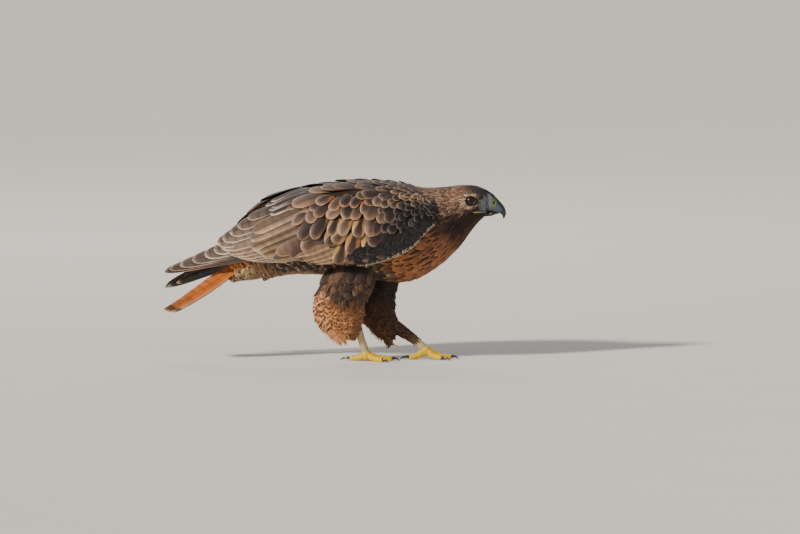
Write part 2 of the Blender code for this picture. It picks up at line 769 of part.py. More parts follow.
def build_shank(side, name, grow=0.0):
    """The shank, with its row of scutes as low steps."""

    def stepped(share):
        return 1 + SCUTE_RISE / 5 * (1 - (share * SCUTES) % 1) if share < 1 else 1

    rings = path_rings(SHANK[side], 2 * SCUTES + 1, 10, stepped, grow)
    if grow:
        way = rings[1][0] - rings[0][0]
        rings[0] = [p - way / np.linalg.norm(way) * grow for p in rings[0]]
        way = rings[-1][0] - rings[-2][0]
        rings[-1] = [p + way / np.linalg.norm(way) * grow for p in rings[-1]]
    return tube(name, rings, "shank")


def toe_path(side, toe):
    """The toe's line from the ball of the foot to the root of its claw."""
    heading, length, root_radius, tip_radius, _ = TOES[toe]
    x, y, z = BALL[side]
    turn = math.radians(heading) * (1 if side == LEFT else -1)
    way = np.array([math.cos(turn), math.sin(turn), 0])
    start = np.array([x, y, z - 1])
    middle = start + way * length * 0.5
    end = start + way * length
    middle[2] = (root_radius + tip_radius) / 2 - TOE_SINK + (z - 9) * 0.25 + 0.6
    end[2] = tip_radius - TOE_SINK
    near = start + way * length * 0.22
    near[2] = z * 0.8
    return [
        (*start, root_radius),
        (*near, root_radius),
        (*middle, (root_radius + tip_radius) / 2),
        (*end, tip_radius),
    ], way


def build_foot(side, shank):
    foot = ball("foot_" + SIDE_NAMES[side], BALL[side], (BALL_RADIUS,) * 3, "foot", rings=6, sides=10)
    toes = []
    for toe in range(len(TOES)):
        path, _ = toe_path(side, toe)

        def padded(share, pads=3):
            return 1 + PAD_SWELL * math.sin(math.pi * share * pads) ** 2 - PAD_SWELL / 2

        toes.append(tube("toe", path_rings(path, TOE_RINGS, 8, padded)))
    combine(foot, toes, "UNION")
    x, y, _ = BALL[side]
    floor = box("floor", (x - 80, y - 80, -40), (x + 80, y + 80, 0))
    claws = [build_claw(side, toe, "claw_cutter", FIT) for toe in range(len(TOES))]
    return combine(foot, [floor, shank, *claws], "DIFFERENCE")


def build_claw(side, toe, name, grow=0.0):
    """A claw that curves down from the toe's end until its point meets the floor."""
    path, way = toe_path(side, toe)
    tip_radius, length = TOES[toe][3:5]
    here = np.array(path[-1][:3]) - way * CLAW_SINK
    here[2] = max(tip_radius - TOE_SINK, CLAW_RADIUS + 0.6)
    heading, turn = math.radians(CLAW_RISE_DEG), math.radians(CLAW_RISE_DEG + CLAW_CURL_DEG)
    line = []
    for i in range(CLAW_STEPS + 1):
        share = i / CLAW_STEPS
        line.append([*here, CLAW_RADIUS * (1 - CLAW_TAPER * share**1.3)])
        step = way * math.cos(heading) + np.array([0, 0, math.sin(heading)])
        here = here + step * length / CLAW_STEPS
        heading -= turn / CLAW_STEPS
    point = path_rings(line, CLAW_RINGS, CLAW_SIDES)[-1]
    low = min(p[2] for p in point) - CLAW_CLEAR
    for i, place in enumerate(line):
        place[2] -= low * (i / CLAW_STEPS) ** 2
    rings = path_rings(line, CLAW_RINGS, CLAW_SIDES, grow=grow)
    rings[0] = [p - way * grow for p in rings[0]]
    return tube(name, rings, "claw")


def shade(made):
    made.data.shade_smooth()
    made.data.set_sharp_from_angle(angle=math.radians(SHARP_DEG))


def centre_on_floor():
    """Moves every node so that the origin is at the bottom centre of the bird's box."""
    nodes = list(bpy.context.scene.collection.objects)
    corners = np.array([v.co for made in nodes for v in made.data.vertices])
    low, high = corners.min(0), corners.max(0)
    shift = Vector((-(low[0] + high[0]) / 2, -(low[1] + high[1]) / 2, -low[2]))
    for made in nodes:
        made.data.transform(Matrix.Translation(shift))


def main():
    for old in list(bpy.data.objects):
        bpy.data.objects.remove(old)
    build_torso()
    build_neck()
    build_head()
    build_bill()
    build_tail()
    for side in (RIGHT, LEFT):
        build_eye(side)
        build_wing(side)
        build_shank(side, "shank_" + SIDE_NAMES[side])
        build_thigh(side, build_shank(side, "shank_cutter", FIT))
        build_foot(side, build_shank(side, "shank_cutter", FIT))
        for toe in range(len(TOES)):
            build_claw(side, toe, "claw_%s_%d" % (SIDE_NAMES[side], toe + 1))
    for made in bpy.context.scene.collection.objects:
        shade(made)
    centre_on_floor()


main()
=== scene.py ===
"""The looks of a red-tailed hawk that walks with its head low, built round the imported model.

All sizes are in millimetres in the bird's own frame: +X is its forward, its right side is at
-Y and the floor is Z = 0. packed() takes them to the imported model's frame, in metres. The
tables of trunk, wings, thighs, tail, bill and legs follow the part's, and the feathers lie on
the surfaces that they give.
"""

import math

import bpy
import numpy as np
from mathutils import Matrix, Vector


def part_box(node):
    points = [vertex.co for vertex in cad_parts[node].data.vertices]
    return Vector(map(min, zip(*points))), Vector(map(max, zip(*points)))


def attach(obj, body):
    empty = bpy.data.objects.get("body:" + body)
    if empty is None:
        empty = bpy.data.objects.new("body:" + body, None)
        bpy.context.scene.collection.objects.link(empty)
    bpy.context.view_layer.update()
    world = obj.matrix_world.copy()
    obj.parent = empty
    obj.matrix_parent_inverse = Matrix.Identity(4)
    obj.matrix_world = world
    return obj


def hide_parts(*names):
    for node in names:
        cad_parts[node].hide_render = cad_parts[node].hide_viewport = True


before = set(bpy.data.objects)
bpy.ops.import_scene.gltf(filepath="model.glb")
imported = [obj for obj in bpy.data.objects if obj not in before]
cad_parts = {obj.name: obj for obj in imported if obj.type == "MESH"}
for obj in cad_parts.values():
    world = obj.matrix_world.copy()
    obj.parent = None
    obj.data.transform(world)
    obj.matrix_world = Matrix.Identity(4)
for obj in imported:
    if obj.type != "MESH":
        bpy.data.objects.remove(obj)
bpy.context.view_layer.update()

MM = 0.001
RIGHT, LEFT = -1, 1
SIDE_NAMES = {RIGHT: "right", LEFT: "left"}
SEED = 7

# The trunk from tail root to face: x, z, pitch in degrees, height, depth, half width.
TRUNK = np.array([
    (-140, 157, 31, 20, 40, 28), (-112, 165, 22, 40, 39, 42), (-76, 177, 12, 56, 46, 55),
    (-34, 188, 6, 68, 58, 64), (10, 194, 2, 71, 68, 69), (50, 198, 3, 70, 76, 71),
    (84, 203, 8, 64, 84, 68), (114, 211, 20, 57, 73, 59), (140, 219, 32, 49, 57, 46),
    (158, 226, 36, 42, 45, 36), (171, 233, 30, 33, 40, 31), (184, 239, 18, 26, 37, 28.5),
    (199, 240, 4, 22.5, 30, 23), (212, 238, -4, 17.5, 19.5, 13.5),
], float)
NECK_AT, HEAD_AT, FACE_AT = 7.85, 9.75, 13.0
# How deep the feathers are over the skin, at places along the trunk.
COAT_AT, COAT_DEPTH = (0, 6, 8, 9.5, 11, 13), (6.0, 6.0, 5.0, 3.2, 1.5, 0.7)
# How long they are.
LENGTH_AT, LENGTHS = (0, 2, 5, 7, 8, 9, 10, 11, 12, 13), (36, 36, 35, 33, 25, 18, 14, 10.5, 7.5, 5)

EYE = (189.0, 20.2, 241.0)
EYE_RADIUS = 9.5
# Where the eyeball sits in its socket, as the photograph shows it.
EYEBALL = np.array([187.6, 20.2, 242.3])
# Swellings and hollows of the head's sides: x, z, half length, half height, slope, height.
FACE_FORMS = (
    (195, 249.6, 15, 3.6, -8, 3.0), (189.5, 240.5, 9, 8, 0, -1.2),
    (205, 236.5, 7, 6, 0, -1.3), (183, 229, 12, 7, 0, 1.0),
)

# The upper and the lower bill from root to tip: x, z, pitch in degrees, half height, half width.
BILL = np.array([
    (212.5, 240, -4, 15.5, 11.5), (220, 237, -12, 12.6, 9.8), (228.5, 231.5, -27, 9.0, 7.4),
    (234.5, 226.5, -52, 6.2, 5.0), (238.2, 220.5, -80, 3.4, 2.8), (238.0, 213.9, -96, 0.6, 0.6),
])
LOWER_BILL = np.array([
    (211.2, 221.3, -4, 3.1, 8.8), (222, 221.9, 2, 2.5, 6.4), (230.5, 222.3, 4, 1.0, 2.6),
])
CERE_END, BILL_FLAT, BILL_SIDES = 1.62, 0.8, 40
NOSTRIL, NOSTRIL_RADIUS = (223.6, 238.2), 1.7
# The corner of the mouth and where its line meets the bill, as x and z.
GAPE = np.array([(191.5, 225.2), (202.0, 225.2), (213.0, 224.6)])

# The surface of the folded wings, every CLOAK_STEP back from CLOAK_FRONT: middle z, height,
# depth, half width, and the upper and lower edge of the wing in degrees from the back.
CLOAK_FRONT, CLOAK_STEP = 140.0, 40.0
CLOAK = np.array([
    (215, 42, 40, 50, 46, 94), (205, 62, 70, 76, 27, 113), (200, 72, 72, 86, 20, 124),
    (198, 76, 72, 90, 18, 131), (196, 74, 70, 88, 20, 133), (192, 70, 66, 82, 24, 131),
    (184, 60, 58, 70, 32, 124), (172, 50, 46, 56, 40, 110), (160.5, 40, 36, 44, 40, 90),
    (149.5, 32, 28, 35, 40, 90), (138.5, 26, 22, 28.5, 40, 90), (127.5, 21, 18, 23, 40, 90),
], float)
# The far wing's tip hangs lower, and its inner feathers stand up in one place.
DROOP_FROM, DROOP_DEG, DROOP_BEND = -100.0, 8.5, 80.0
TERTIAL_RISE, TERTIAL_AT, TERTIAL_REACH = 12.0, (-128.0, 24.0), (60.0, 26.0)
ARM_FRONT, ARM_BACK = 136.0, -104.0
THIN_FROM, THIN_TO, THIN_LEAST = -150.0, -270.0, 0.72

TAIL_START = np.array([-140.0, 0.0, 157.0])
TAIL_DROP_DEG, TAIL_ROLL_DEG = 31.0, 9.0
TAIL_PAIRS, TAIL_LENGTH, TAIL_WIDTH = 6, 155.0, 25.0
TAIL_SPREAD_DEG, TAIL_STEP_OUT, TAIL_RIDGE = 0.95, 1.3, 6.0
# How steeply the tail's sides slope, at lengths from its root.
TAIL_ROOF_AT, TAIL_ROOF = (0, 30, 62, 125, 155), (0.5, 0.98, 0.8, 0.32, 0.15)
# How much the tail's middle stands over its line, at lengths from its root.
TAIL_HUMP_AT, TAIL_HUMP = (0, 30, 70, 125, 155), (1.0, 7.0, 6.0, 1.0, 0.0)
TAIL_LAYER, TAIL_ROUNDING, TAIL_FIRST = 1.25, 0.26, -12.0
# The tail feathers with dark spots, as places from the middle.
TAIL_SPOTTED = (0.5, 1.5, 3.5)
# The tail's fleshy core, and the longer cone that its coverts lie on: reach, share, sink.
TAIL_CORE = np.array([(-6, 1.0, 0), (18, 0.8, 1), (36, 0.5, 2), (52, 0.16, 1)])
TAIL_CONE = np.array([(-14, 1.0, 0), (12, 0.82, 0), (36, 0.52, 1), (62, 0.34, 2), (90, 0.24, 3)])

# Feathered legs: z, x, y away from the middle, half length, half width.
THIGH = {
    RIGHT: np.array([
        (152, 20, 34, 33, 18), (132, 8, 35, 39, 21), (110, 0, 32, 37, 22), (88, -8, 28, 36, 20),
        (66, -9, 21, 34, 17), (49, -6, 17, 26, 13), (39, -2, 14, 17, 8),
    ], float),
    LEFT: np.array([
        (152, 50, 34, 33, 18), (132, 45, 35, 39, 21), (110, 42, 33, 34, 21), (88, 42, 30, 30, 19),
        (66, 47, 27, 27, 16), (49, 57, 24, 20, 13), (38, 62, 22, 12, 8),
    ], float),
}
# Shanks, as (x, y, z, radius) from the heel down to the ball of the foot.
SHANK = {
    RIGHT: np.array([
        (15, -13, 60, 7.2), (20.5, -10.6, 45, 6.3), (25.5, -8.4, 30, 5.4), (30, -6.4, 16, 5.7),
        (32, -6, 9, 6.0),
    ]),
    LEFT: np.array([
        (58, 24, 60, 9.6), (80, 23.5, 46, 8.8), (102, 22.5, 31, 6.4), (115, 22, 20, 6.0),
        (121, 22, 13, 6.4),
    ]),
}
# How far down each shank its feathers start and end, and how long they are.
SHANK_FEATHERS = {RIGHT: (-0.2, 0.9, 9.0), LEFT: (-0.3, 2.2, 12.0)}
BALL = {RIGHT: (32.0, -6.0, 9.0), LEFT: (121.0, 22.0, 13.0)}
BALL_RADIUS = 8.0
# How many rings of how many points each piece is made of.
EYE_RINGS, GAPE_RINGS, SHANK_RINGS, BALL_RINGS = (48, 64), (18, 12), (110, 32), (24, 32)
TOE_RINGS, CLAW_RINGS, ARM_RINGS = (90, 28), (40, 20), (26, 15)
CERE_RINGS, UPPER_BILL_RINGS, LOWER_BILL_RINGS, LID_POINTS = 36, 60, 24, 64
# The skin's smallest detail, and how many times it is smoothed.
SKIN_VOXEL, SKIN_SMOOTHING = 1.9, 3
# Each toe: heading in degrees outwards, length, radius at root and tip, claw length.
TOES = (
    (194, 26.0, 5.0, 4.0, 19.0), (-34, 30.0, 5.0, 4.0, 19.0), (2, 39.0, 5.0, 3.8, 15.0),
    (38, 32.0, 4.8, 3.6, 13.0),
)
TOE_SINK, LEAST_HEIGHT = 0.7, 0.05
SHANK_SCUTES, TOE_SCUTES = 13, 12
CLAW_RADIUS, CLAW_RISE_DEG, CLAW_CURL_DEG, CLAW_SINK = 2.6, 16, 66, 2.0
CLAW_STEPS, CLAW_TAPER, CLAW_CLEAR = 7, 0.9, 0.05

# The width of a feather from root to tip: share at the root, where it is widest, where its
# tip starts to close, and how blunt the tip is.
FLIGHT_FORM = (0.4, 0.35, 0.84, 2.0)
TAIL_FORM = (0.55, 0.7, 0.9, 2.2)
COVERT_FORM = (0.55, 0.45, 0.52, 2.2)
BODY_FORM = (0.55, 0.4, 0.4, 1.9)
POINTED_FORM = (0.6, 0.35, 0.2, 1.5)
WISP_FORM = (0.7, 0.25, 0.1, 1.15)
TIP_CROWDING = 1.5
# Added to the distance from the rim on a vane's underside, so that no fringe is painted there.
FRINGE_CLEAR = 50.0
# The side of the patch that a feather has on the bake's map.
TUFT_PATCH = 0.003
# What a feather's numbers are divided by to be kept in a colour's range.
FRINGE_SCALE, REACH_SCALE, LENGTH_SCALE = 10.0, 50.0, 200.0

# How much more colourful the surfaces are than what shows on the screen.
RICHNESS = 1.12


def paint(red, green, blue):
    """A colour given as it shows on a screen, 0 to 255, in the shader's linear numbers."""
    shown = np.array([red, green, blue]) / 255
    linear = np.where(shown <= 0.04045, shown / 12.92, ((shown + 0.055) / 1.055) ** 2.4)
    return np.maximum(linear.mean() + (linear - linear.mean()) * RICHNESS, 0.002)


MANTLE = paint(66, 52, 46)
COVERT = paint(60, 47, 41)
COVERT_WORN = paint(138, 110, 92)
# The wing's front is painted near-black: painted shade. SHOULDER_EDGE is the grey fringe of those shaded
# feathers.
SHOULDER_SHADE = paint(14, 11, 11)
SHOULDER_EDGE = paint(118, 108, 106)
FRINGE_BROWN = paint(172, 142, 116)
FRINGE_BUFF = paint(196, 162, 128)
FRINGE_PALE = paint(224, 208, 188)
BASAL_RUFOUS = paint(176, 112, 72)
BASAL_BUFF = paint(226, 186, 126)
SECONDARY = paint(128, 103, 86)
INNER_SECONDARY = paint(172, 140, 115)
TERTIAL = paint(98, 79, 66)
PRIMARY = paint(84, 67, 58)
DARK_BAR = paint(44, 33, 28)
BARRED_BUFF = paint(222, 184, 146)
WING_SHADE = paint(14, 11, 11)
TAIL_RUFOUS = paint(184, 98, 10)
TAIL_UNDER = paint(186, 150, 122)
TAIL_TIP = paint(222, 184, 138)
UNDERTAIL = paint(128, 98, 70)
UNDERTAIL_BUFF = paint(196, 168, 128)
BREAST = paint(138, 86, 54)
BREAST_PALE = paint(180, 130, 88)
STREAK_DARK = paint(52, 33, 26)
FLANK = paint(44, 32, 27)
FLANK_SPOT = paint(206, 184, 152)
BELLY = paint(158, 122, 90)
THROAT = paint(50, 35, 30)
THROAT_BUFF = paint(104, 74, 55)
NAPE = paint(92, 70, 56)
NAPE_BUFF = paint(170, 140, 118)
CROWN = paint(84, 62, 52)
HEAD_RUFOUS = paint(138, 92, 76)
CHEEK = paint(100, 75, 66)
CHEEK_PALE = paint(152, 122, 102)
BROW_PALE = paint(180, 160, 136)
EYE_RING = paint(200, 178, 156)
LORES = paint(150, 156, 160)
FOREHEAD = paint(42, 42, 54)
TROUSER = paint(198, 128, 82)
TROUSER_PALE = paint(216, 172, 132)
# Dark trouser brown, used for the trousers' painted shade.
TROUSER_DARK = paint(46, 35, 31)
SHANK_YELLOW = paint(176, 160, 122)
TOE_YELLOW = paint(226, 186, 52)
CLAW_BLACK = paint(26, 24, 25)
BILL_BLUE = paint(70, 80, 94)
BILL_BLACK = paint(22, 24, 30)
CERE_YELLOW = paint(106, 108, 44)
CERE_GREEN = paint(80, 88, 60)
GAPE_YELLOW = paint(168, 160, 84)
LID_GREY = paint(30, 25, 24)
PUPIL_BLACK = paint(5, 4, 5)
IRIS_RIM = paint(14, 10, 10)
IRIS_BROWN = paint(52, 30, 18)
IRIS_LIT = paint(150, 122, 88)
FLOOR_PALE = paint(222, 219, 213)


def shift_to_packed():
    """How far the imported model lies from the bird's own frame, read from its right eye."""
    low, high = (np.array(corner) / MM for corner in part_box("eye_right"))
    return (low + high) / 2 - np.array([EYE[0], RIGHT * EYE[1], EYE[2]])


SHIFT = shift_to_packed()


def packed(points):
    return (np.asarray(points, float) + SHIFT) * MM


def unit(vectors):
    return vectors / np.linalg.norm(vectors, axis=-1, keepdims=True)


def turns(count):
    """Angles evenly round a full turn."""
    return np.linspace(0, 2 * math.pi, count, endpoint=False)


def grid(*axes):
    return np.meshgrid(*axes, indexing="ij")


def smooth(value, low, high):
    """0 up to low and 1 from high on, with a soft step between them."""
    share = np.clip((np.asarray(value, float) - low) / (high - low), 0, 1)
    return share * share * (3 - 2 * share)


def fade(value, low, high):
    """1 up to low and 0 from high on."""
    return 1 - smooth(value, low, high)


def hill(value, middle, half):
    """1 at middle, falling softly to 0 at half's distance from it."""
    return fade(np.abs(np.asarray(value, float) - middle), half * 0.35, half)


def over(base, *layers):
    """A colour with others laid over it in turn, each given with its shares of 0 to 1."""
    for colour, share in layers:
        share = np.asarray(share, float)[..., None]
        base = base * (1 - share) + colour * share
    return base


def rows_at(table, places):
    """Rows of a table at places counted in rows, on a smooth curve that runs on straight."""
    last = len(table) - 1
    places = np.asarray(places, float)
    inside = np.clip(places, 0, last)
    before = np.clip(np.floor(inside).astype(int), 0, last - 1)
    t = (inside - before)[..., None]
    a, b, c, d = (table[np.clip(before + k, 0, last)] for k in (-1, 0, 1, 2))
    square, cube = 2 * a - 5 * b + 4 * c - d, 3 * b - a - 3 * c + d
    slope = (c - a + 2 * square * t + 3 * cube * t**2) / 2
    return (2 * b + (c - a) * t + square * t**2 + cube * t**3) / 2 + slope * (places - inside)[..., None]


def columns_at(table, places):
    return np.moveaxis(rows_at(table, places), -1, 0)


def oval(places, angle, grow):
    """Points of the trunk, angle in radians from the back."""
    x, z, pitch, up, down, wide = columns_at(TRUNK, places)
    pitch = np.radians(pitch)
    rise = np.cos(angle) * (np.where(np.cos(angle) > 0, up, down) + grow)
    return np.stack([x - np.sin(pitch) * rise, np.sin(angle) * (wide + grow), z + np.cos(pitch) * rise], -1)


def face_form(points):
    """How far the head swells or sinks at points on its sides."""
    total = np.zeros(points.shape[:-1])
    for x, z, long, high, slope, rise in FACE_FORMS:
        turn = math.radians(slope)
        ahead, above = points[..., 0] - x, points[..., 2] - z
        along = (ahead * math.cos(turn) + above * math.sin(turn)) / long
        across = (above * math.cos(turn) - ahead * math.sin(turn)) / high
        total += rise * np.exp(-(along**2) - across**2)
    return total


def trunk(places, angle, grow=0.0):
    return oval(places, angle, grow + face_form(oval(places, angle, 0.0)))


def cloak_columns(x):
    return columns_at(CLOAK, (CLOAK_FRONT - x) / CLOAK_STEP)


def lower_edge(x):
    """The folded wing's lower edge, in degrees from the back."""
    return cloak_columns(x)[5]


def cloak(side, x, degrees):
    """Points of the surface that a folded wing lies in."""
    middle, up, down, wide = cloak_columns(x)[:4]
    angle = np.radians(degrees)
    z = middle + np.cos(angle) * np.where(np.cos(angle) > 0, up, down)
    if side == LEFT:
        back = np.maximum(DROOP_FROM - x, 0)
        z = z - math.tan(math.radians(DROOP_DEG)) * back * np.minimum(back / DROOP_BEND, 1)
        near = np.maximum(0.0, 1 - np.abs(x - TERTIAL_AT[0]) / TERTIAL_REACH[0])
        inner = np.maximum(0.0, 1 - np.abs(degrees - TERTIAL_AT[1]) / TERTIAL_REACH[1])
        z = z + TERTIAL_RISE * near * inner
    return np.stack([x + 0 * z, side * np.sin(angle) * wide, z], -1)


def thinned(x):
    """The share of a feather's depth in the wing that is left towards the wing's tip."""
    return 1 - (1 - THIN_LEAST) * np.clip((THIN_FROM - x) / (THIN_FROM - THIN_TO), 0, 1)


def tail_frame():
    """The tail's back, side and up directions."""
    drop, roll = math.radians(TAIL_DROP_DEG), math.radians(TAIL_ROLL_DEG)
    back = np.array([-math.cos(drop), 0, -math.sin(drop)])
    level = np.array([0.0, 1.0, 0.0])
    side = level * math.cos(roll) + np.cross(back, level) * math.sin(roll)
    up = np.cross(side, back)
    return back, side, up if up[2] > 0 else -up


def tail_roof(along, aside):
    """Points of the tail's surface, from how far back and how far aside they are."""
    back, side, up = tail_frame()
    slope = np.interp(along, TAIL_ROOF_AT, TAIL_ROOF)
    roof = np.interp(along, TAIL_HUMP_AT, TAIL_HUMP) - slope * (np.hypot(aside, TAIL_RIDGE) - TAIL_RIDGE)
    return TAIL_START + along[..., None] * back + aside[..., None] * side + roof[..., None] * up


def tail_cone(table, places, angle):
    """Points of the tapered flesh or coverts at the tail's root."""
    reach, shrink, sink = columns_at(table, places)
    ring = oval(np.zeros_like(reach), angle, 0.0) - TAIL_START
    drop = np.stack([0 * sink, 0 * sink, sink], -1)
    return TAIL_START + ring * shrink[..., None] + reach[..., None] * tail_frame()[0] - drop


def thigh(side, places, angle, grow=0.0):
    z, x, y, long, wide = columns_at(THIGH[side], places)
    return np.stack([x + np.cos(angle) * (long + grow), side * y + np.sin(angle) * (wide + grow), z], -1)


def bill_point(table, places, angle, flat=BILL_FLAT, grow=0.0):
    """Points of the bill, angle in radians from its ridge. flat squares its lower half."""
    x, z, pitch, high, wide = columns_at(table, places)
    pitch = np.radians(pitch)
    rise = np.where(np.cos(angle) < 0, -np.abs(np.cos(angle)) ** flat, np.cos(angle)) * (high + grow)
    y = np.sign(np.sin(angle)) * np.abs(np.sin(angle)) ** 0.92 * (wide + grow)
    return np.stack([x - np.sin(pitch) * rise, y, z + np.cos(pitch) * rise], -1)


def limb(path, places, angle, swell=1.0):
    """Points round a limb's (x, y, z, radius) line. swell multiplies the radius."""
    rows = rows_at(path, places)
    ways = unit(rows_at(path, places + 0.02)[..., :3] - rows_at(path, places - 0.02)[..., :3])
    side = unit(np.cross(ways, np.where(np.abs(ways[..., 2:]) < 0.9, (0, 0.02, 1.0), (1.0, 0, 0.02))))
    up = np.cross(side, ways)
    ring = np.cos(angle)[..., None] * side + np.sin(angle)[..., None] * up
    return rows[..., :3] + ring * (rows[..., 3:] * np.asarray(swell)[..., None])


class Surface:
    """A curved sheet that feathers lie on: its points, how far it reaches, and its outside."""

    def __init__(self, points, low, high, sample, outward):
        self.points = points
        self.low, self.high = np.array(low, float), np.array(high, float)
        self.step = (self.high - self.low) * 1e-3
        self.turn = 1.0
        normal = self.sense(np.array([sample[0]]), np.array([sample[1]]))[3][0]
        self.turn = 1.0 if normal @ np.array(outward) > 0 else -1.0

    def sense(self, u, v):
        """Points, how they change with u and v, and the way out."""
        du, dv = self.step
        by_u = (self.points(u + du, v) - self.points(u - du, v)) / (2 * du)
        by_v = (self.points(u, v + dv) - self.points(u, v - dv)) / (2 * dv)
        return self.points(u, v), by_u, by_v, unit(np.cross(by_u, by_v)) * self.turn

    def toward(self, sites, heading, length):
        """Where feathers from these sites end: heading in degrees from +u towards +v."""
        by_u, by_v = self.sense(sites[:, 0], sites[:, 1])[1:3]
        turn = np.radians(heading)
        step = np.stack([np.cos(turn) * length, np.sin(turn) * length], -1)
        return sites + step / np.stack([np.linalg.norm(by_u, axis=-1), np.linalg.norm(by_v, axis=-1)], -1)

    def unwrap(self, sites):
        return 0.02 + 0.96 * np.clip((sites - self.low) / (self.high - self.low), 0, 1)


def round_surface(points, low, high, sample, outward=(0, 0, 1)):
    """A surface of rings from u = low to high, with v round them in radians."""
    return Surface(points, (low, -math.pi), (high, math.pi), sample, outward)


TRUNK_SURFACE = round_surface(trunk, 0, FACE_AT, (5, 0.1))
CONE_SURFACE = round_surface(lambda u, v: tail_cone(TAIL_CONE, u, v), 0, 4, (1, 0.1))
BILL_SURFACE = round_surface(lambda u, v: bill_point(BILL, u, v, grow=0.1), -0.5, 2, (0.5, 0.1))
CHIN_SURFACE = round_surface(lambda u, v: bill_point(LOWER_BILL, u, v, 1.0, 0.1), -0.6, 2, (0.5, 0.1))
TAIL_SURFACE = Surface(tail_roof, (0, -45), (180, 45), (80, 2), (0, 0, 1))
# WING_ROWS is the wing's surface with its two directions exchanged, for rows that run along it.
CLOAKS, WING_ROWS, THIGHS, SHANKS = {}, {}, {}, {}
for hand in (RIGHT, LEFT):
    CLOAKS[hand] = Surface(
        lambda x, deg, side=hand: cloak(side, x, deg), (-290, 0), (150, 140), (0, 70), (0, hand, 0)
    )
    WING_ROWS[hand] = Surface(
        lambda deg, x, side=hand: cloak(side, x, deg), (0, -290), (140, 150), (70, 0), (0, hand, 0)
    )
    THIGHS[hand] = round_surface(lambda u, v, side=hand: thigh(side, u, v), 0, 6, (2, 0), (1, 0, 0))
    SHANKS[hand] = round_surface(
        lambda u, v, side=hand: limb(SHANK[side], u, v), 0, 3, (1.5, 0), (hand, 0, 0)
    )


def width_along(share, form):
    """A feather's width at shares of its length, from 0 to 1."""
    root, widest, closing, blunt = form
    body = root + (1 - root) * smooth(share, 0, widest)
    tip = np.clip((share - closing) / (1 - closing), 0, 1)
    return np.maximum(body * (1 - tip**blunt) ** (1 / blunt), 0.02)


def lay(surface, root, tip, width, form, rows, columns, thick,
        height=0, drop=0, roll=0, camber=0, curl=0, sway=0, thin=False):
    """Closed thin vanes from root to tip over a surface, all at once, as rings of points.

    height is a vane's place over the surface at its tip, drop how much deeper its root lies,
    roll its tilt sideways, camber its arch, curl how its tip lifts and sway its sideways bow.
    thin brings vanes nearer to the surface towards the wing's tip.
    """
    width, height, drop, roll, camber, curl, sway = (
        np.broadcast_to(np.asarray(value, float), (len(root),))[:, None]
        for value in (width, height, drop, roll, camber, curl, sway)
    )
    share = 1 - (1 - np.linspace(0, 1, rows)) ** TIP_CROWDING
    across = np.linspace(-1, 1, columns)
    ring_across = np.concatenate([across, across[-2:0:-1]])
    reach = tip - root
    middle = root[:, None, :] + reach[:, None, :] * share[None, :, None]
    _, by_u, by_v, normal = surface.sense(middle[..., 0], middle[..., 1])
    way = by_u * reach[:, None, :1] + by_v * reach[:, None, 1:]
    pace = np.linalg.norm(way, axis=-1)
    length = ((pace[:, 1:] + pace[:, :-1]) / 2 * np.diff(share)).sum(axis=1)
    aside = np.cross(normal, unit(way))
    uu, uv, vv, au, av = (
        (a * b).sum(-1) for a, b in ((by_u, by_u), (by_u, by_v), (by_v, by_v), (aside, by_u), (aside, by_v))
    )
    scale = uu * vv - uv * uv
    step_u, step_v = (vv * au - uv * av) / scale, (uu * av - uv * au) / scale
    half = width / 2 * width_along(share, form)
    offset = half[..., None] * across + (sway * np.sin(math.pi * share))[..., None]
    spot_u = middle[..., :1] + step_u[..., None] * offset
    spot_v = middle[..., 1:] + step_v[..., None] * offset
    point, _, _, out = surface.sense(spot_u, spot_v)
    level = (height - drop * (1 - share) ** 1.5 + curl * share**3)[..., None]
    level = level * (thinned(point[..., 0]) if thin else 1) + roll[..., None] * offset
    level = level + (camber * half)[..., None] * (1 - across**2)
    body = thick / 2 * (1 - np.abs(across) ** 3) * (1 - 0.5 * share[:, None])
    top = point + out * (level + body)[..., None]
    under = point + out * (level - body)[..., None]
    rings = np.concatenate([top, under[:, :, -2:0:-1]], axis=2)
    along = share[None, :, None] * length[:, None, None]
    rim = np.minimum((1 - np.abs(ring_across)) * half[..., None], length[:, None, None] - along)
    spread = [np.broadcast_to(values, rim.shape) for values in (ring_across, along)]
    return rings, np.stack([*spread, rim], -1), length


class Looks:
    """The colours and marks of some feathers, one row for each."""

    colours = {"under": None, "fringe": FRINGE_BUFF, "mark": DARK_BAR, "basal": None}
    numbers = {
        "fringe_width": 0.0, "streak": 0.0, "basal_reach": 0.0, "bars": 0.0, "spacing": 12.0, "band": 0.0,
        "shade": 0.0, "root_shade": 0.55,
    }

    def __init__(self, count, rng, tone, **given):
        self.chance = rng.random(count)
        self.tone = np.array(np.broadcast_to(tone, (count, 3)))
        for name, usual in self.colours.items():
            value = given.get(name, self.tone if usual is None else usual)
            setattr(self, name, np.array(np.broadcast_to(value, (count, 3))))
        for name, usual in self.numbers.items():
            setattr(self, name, np.array(np.broadcast_to(given.get(name, usual), (count,)), float))

    def packed(self, length):
        """The named attributes, each four numbers a feather."""
        return {
            "tone": np.column_stack([self.tone, self.chance]),
            "fringe": np.column_stack([self.fringe, self.fringe_width / FRINGE_SCALE]),
            "mark": np.column_stack([self.mark, self.streak]),
            "basal": np.column_stack([self.basal, self.basal_reach / REACH_SCALE]),
            "bars": np.column_stack([
                self.bars, self.spacing / REACH_SCALE, self.band, length / LENGTH_SCALE,
            ]),
        }


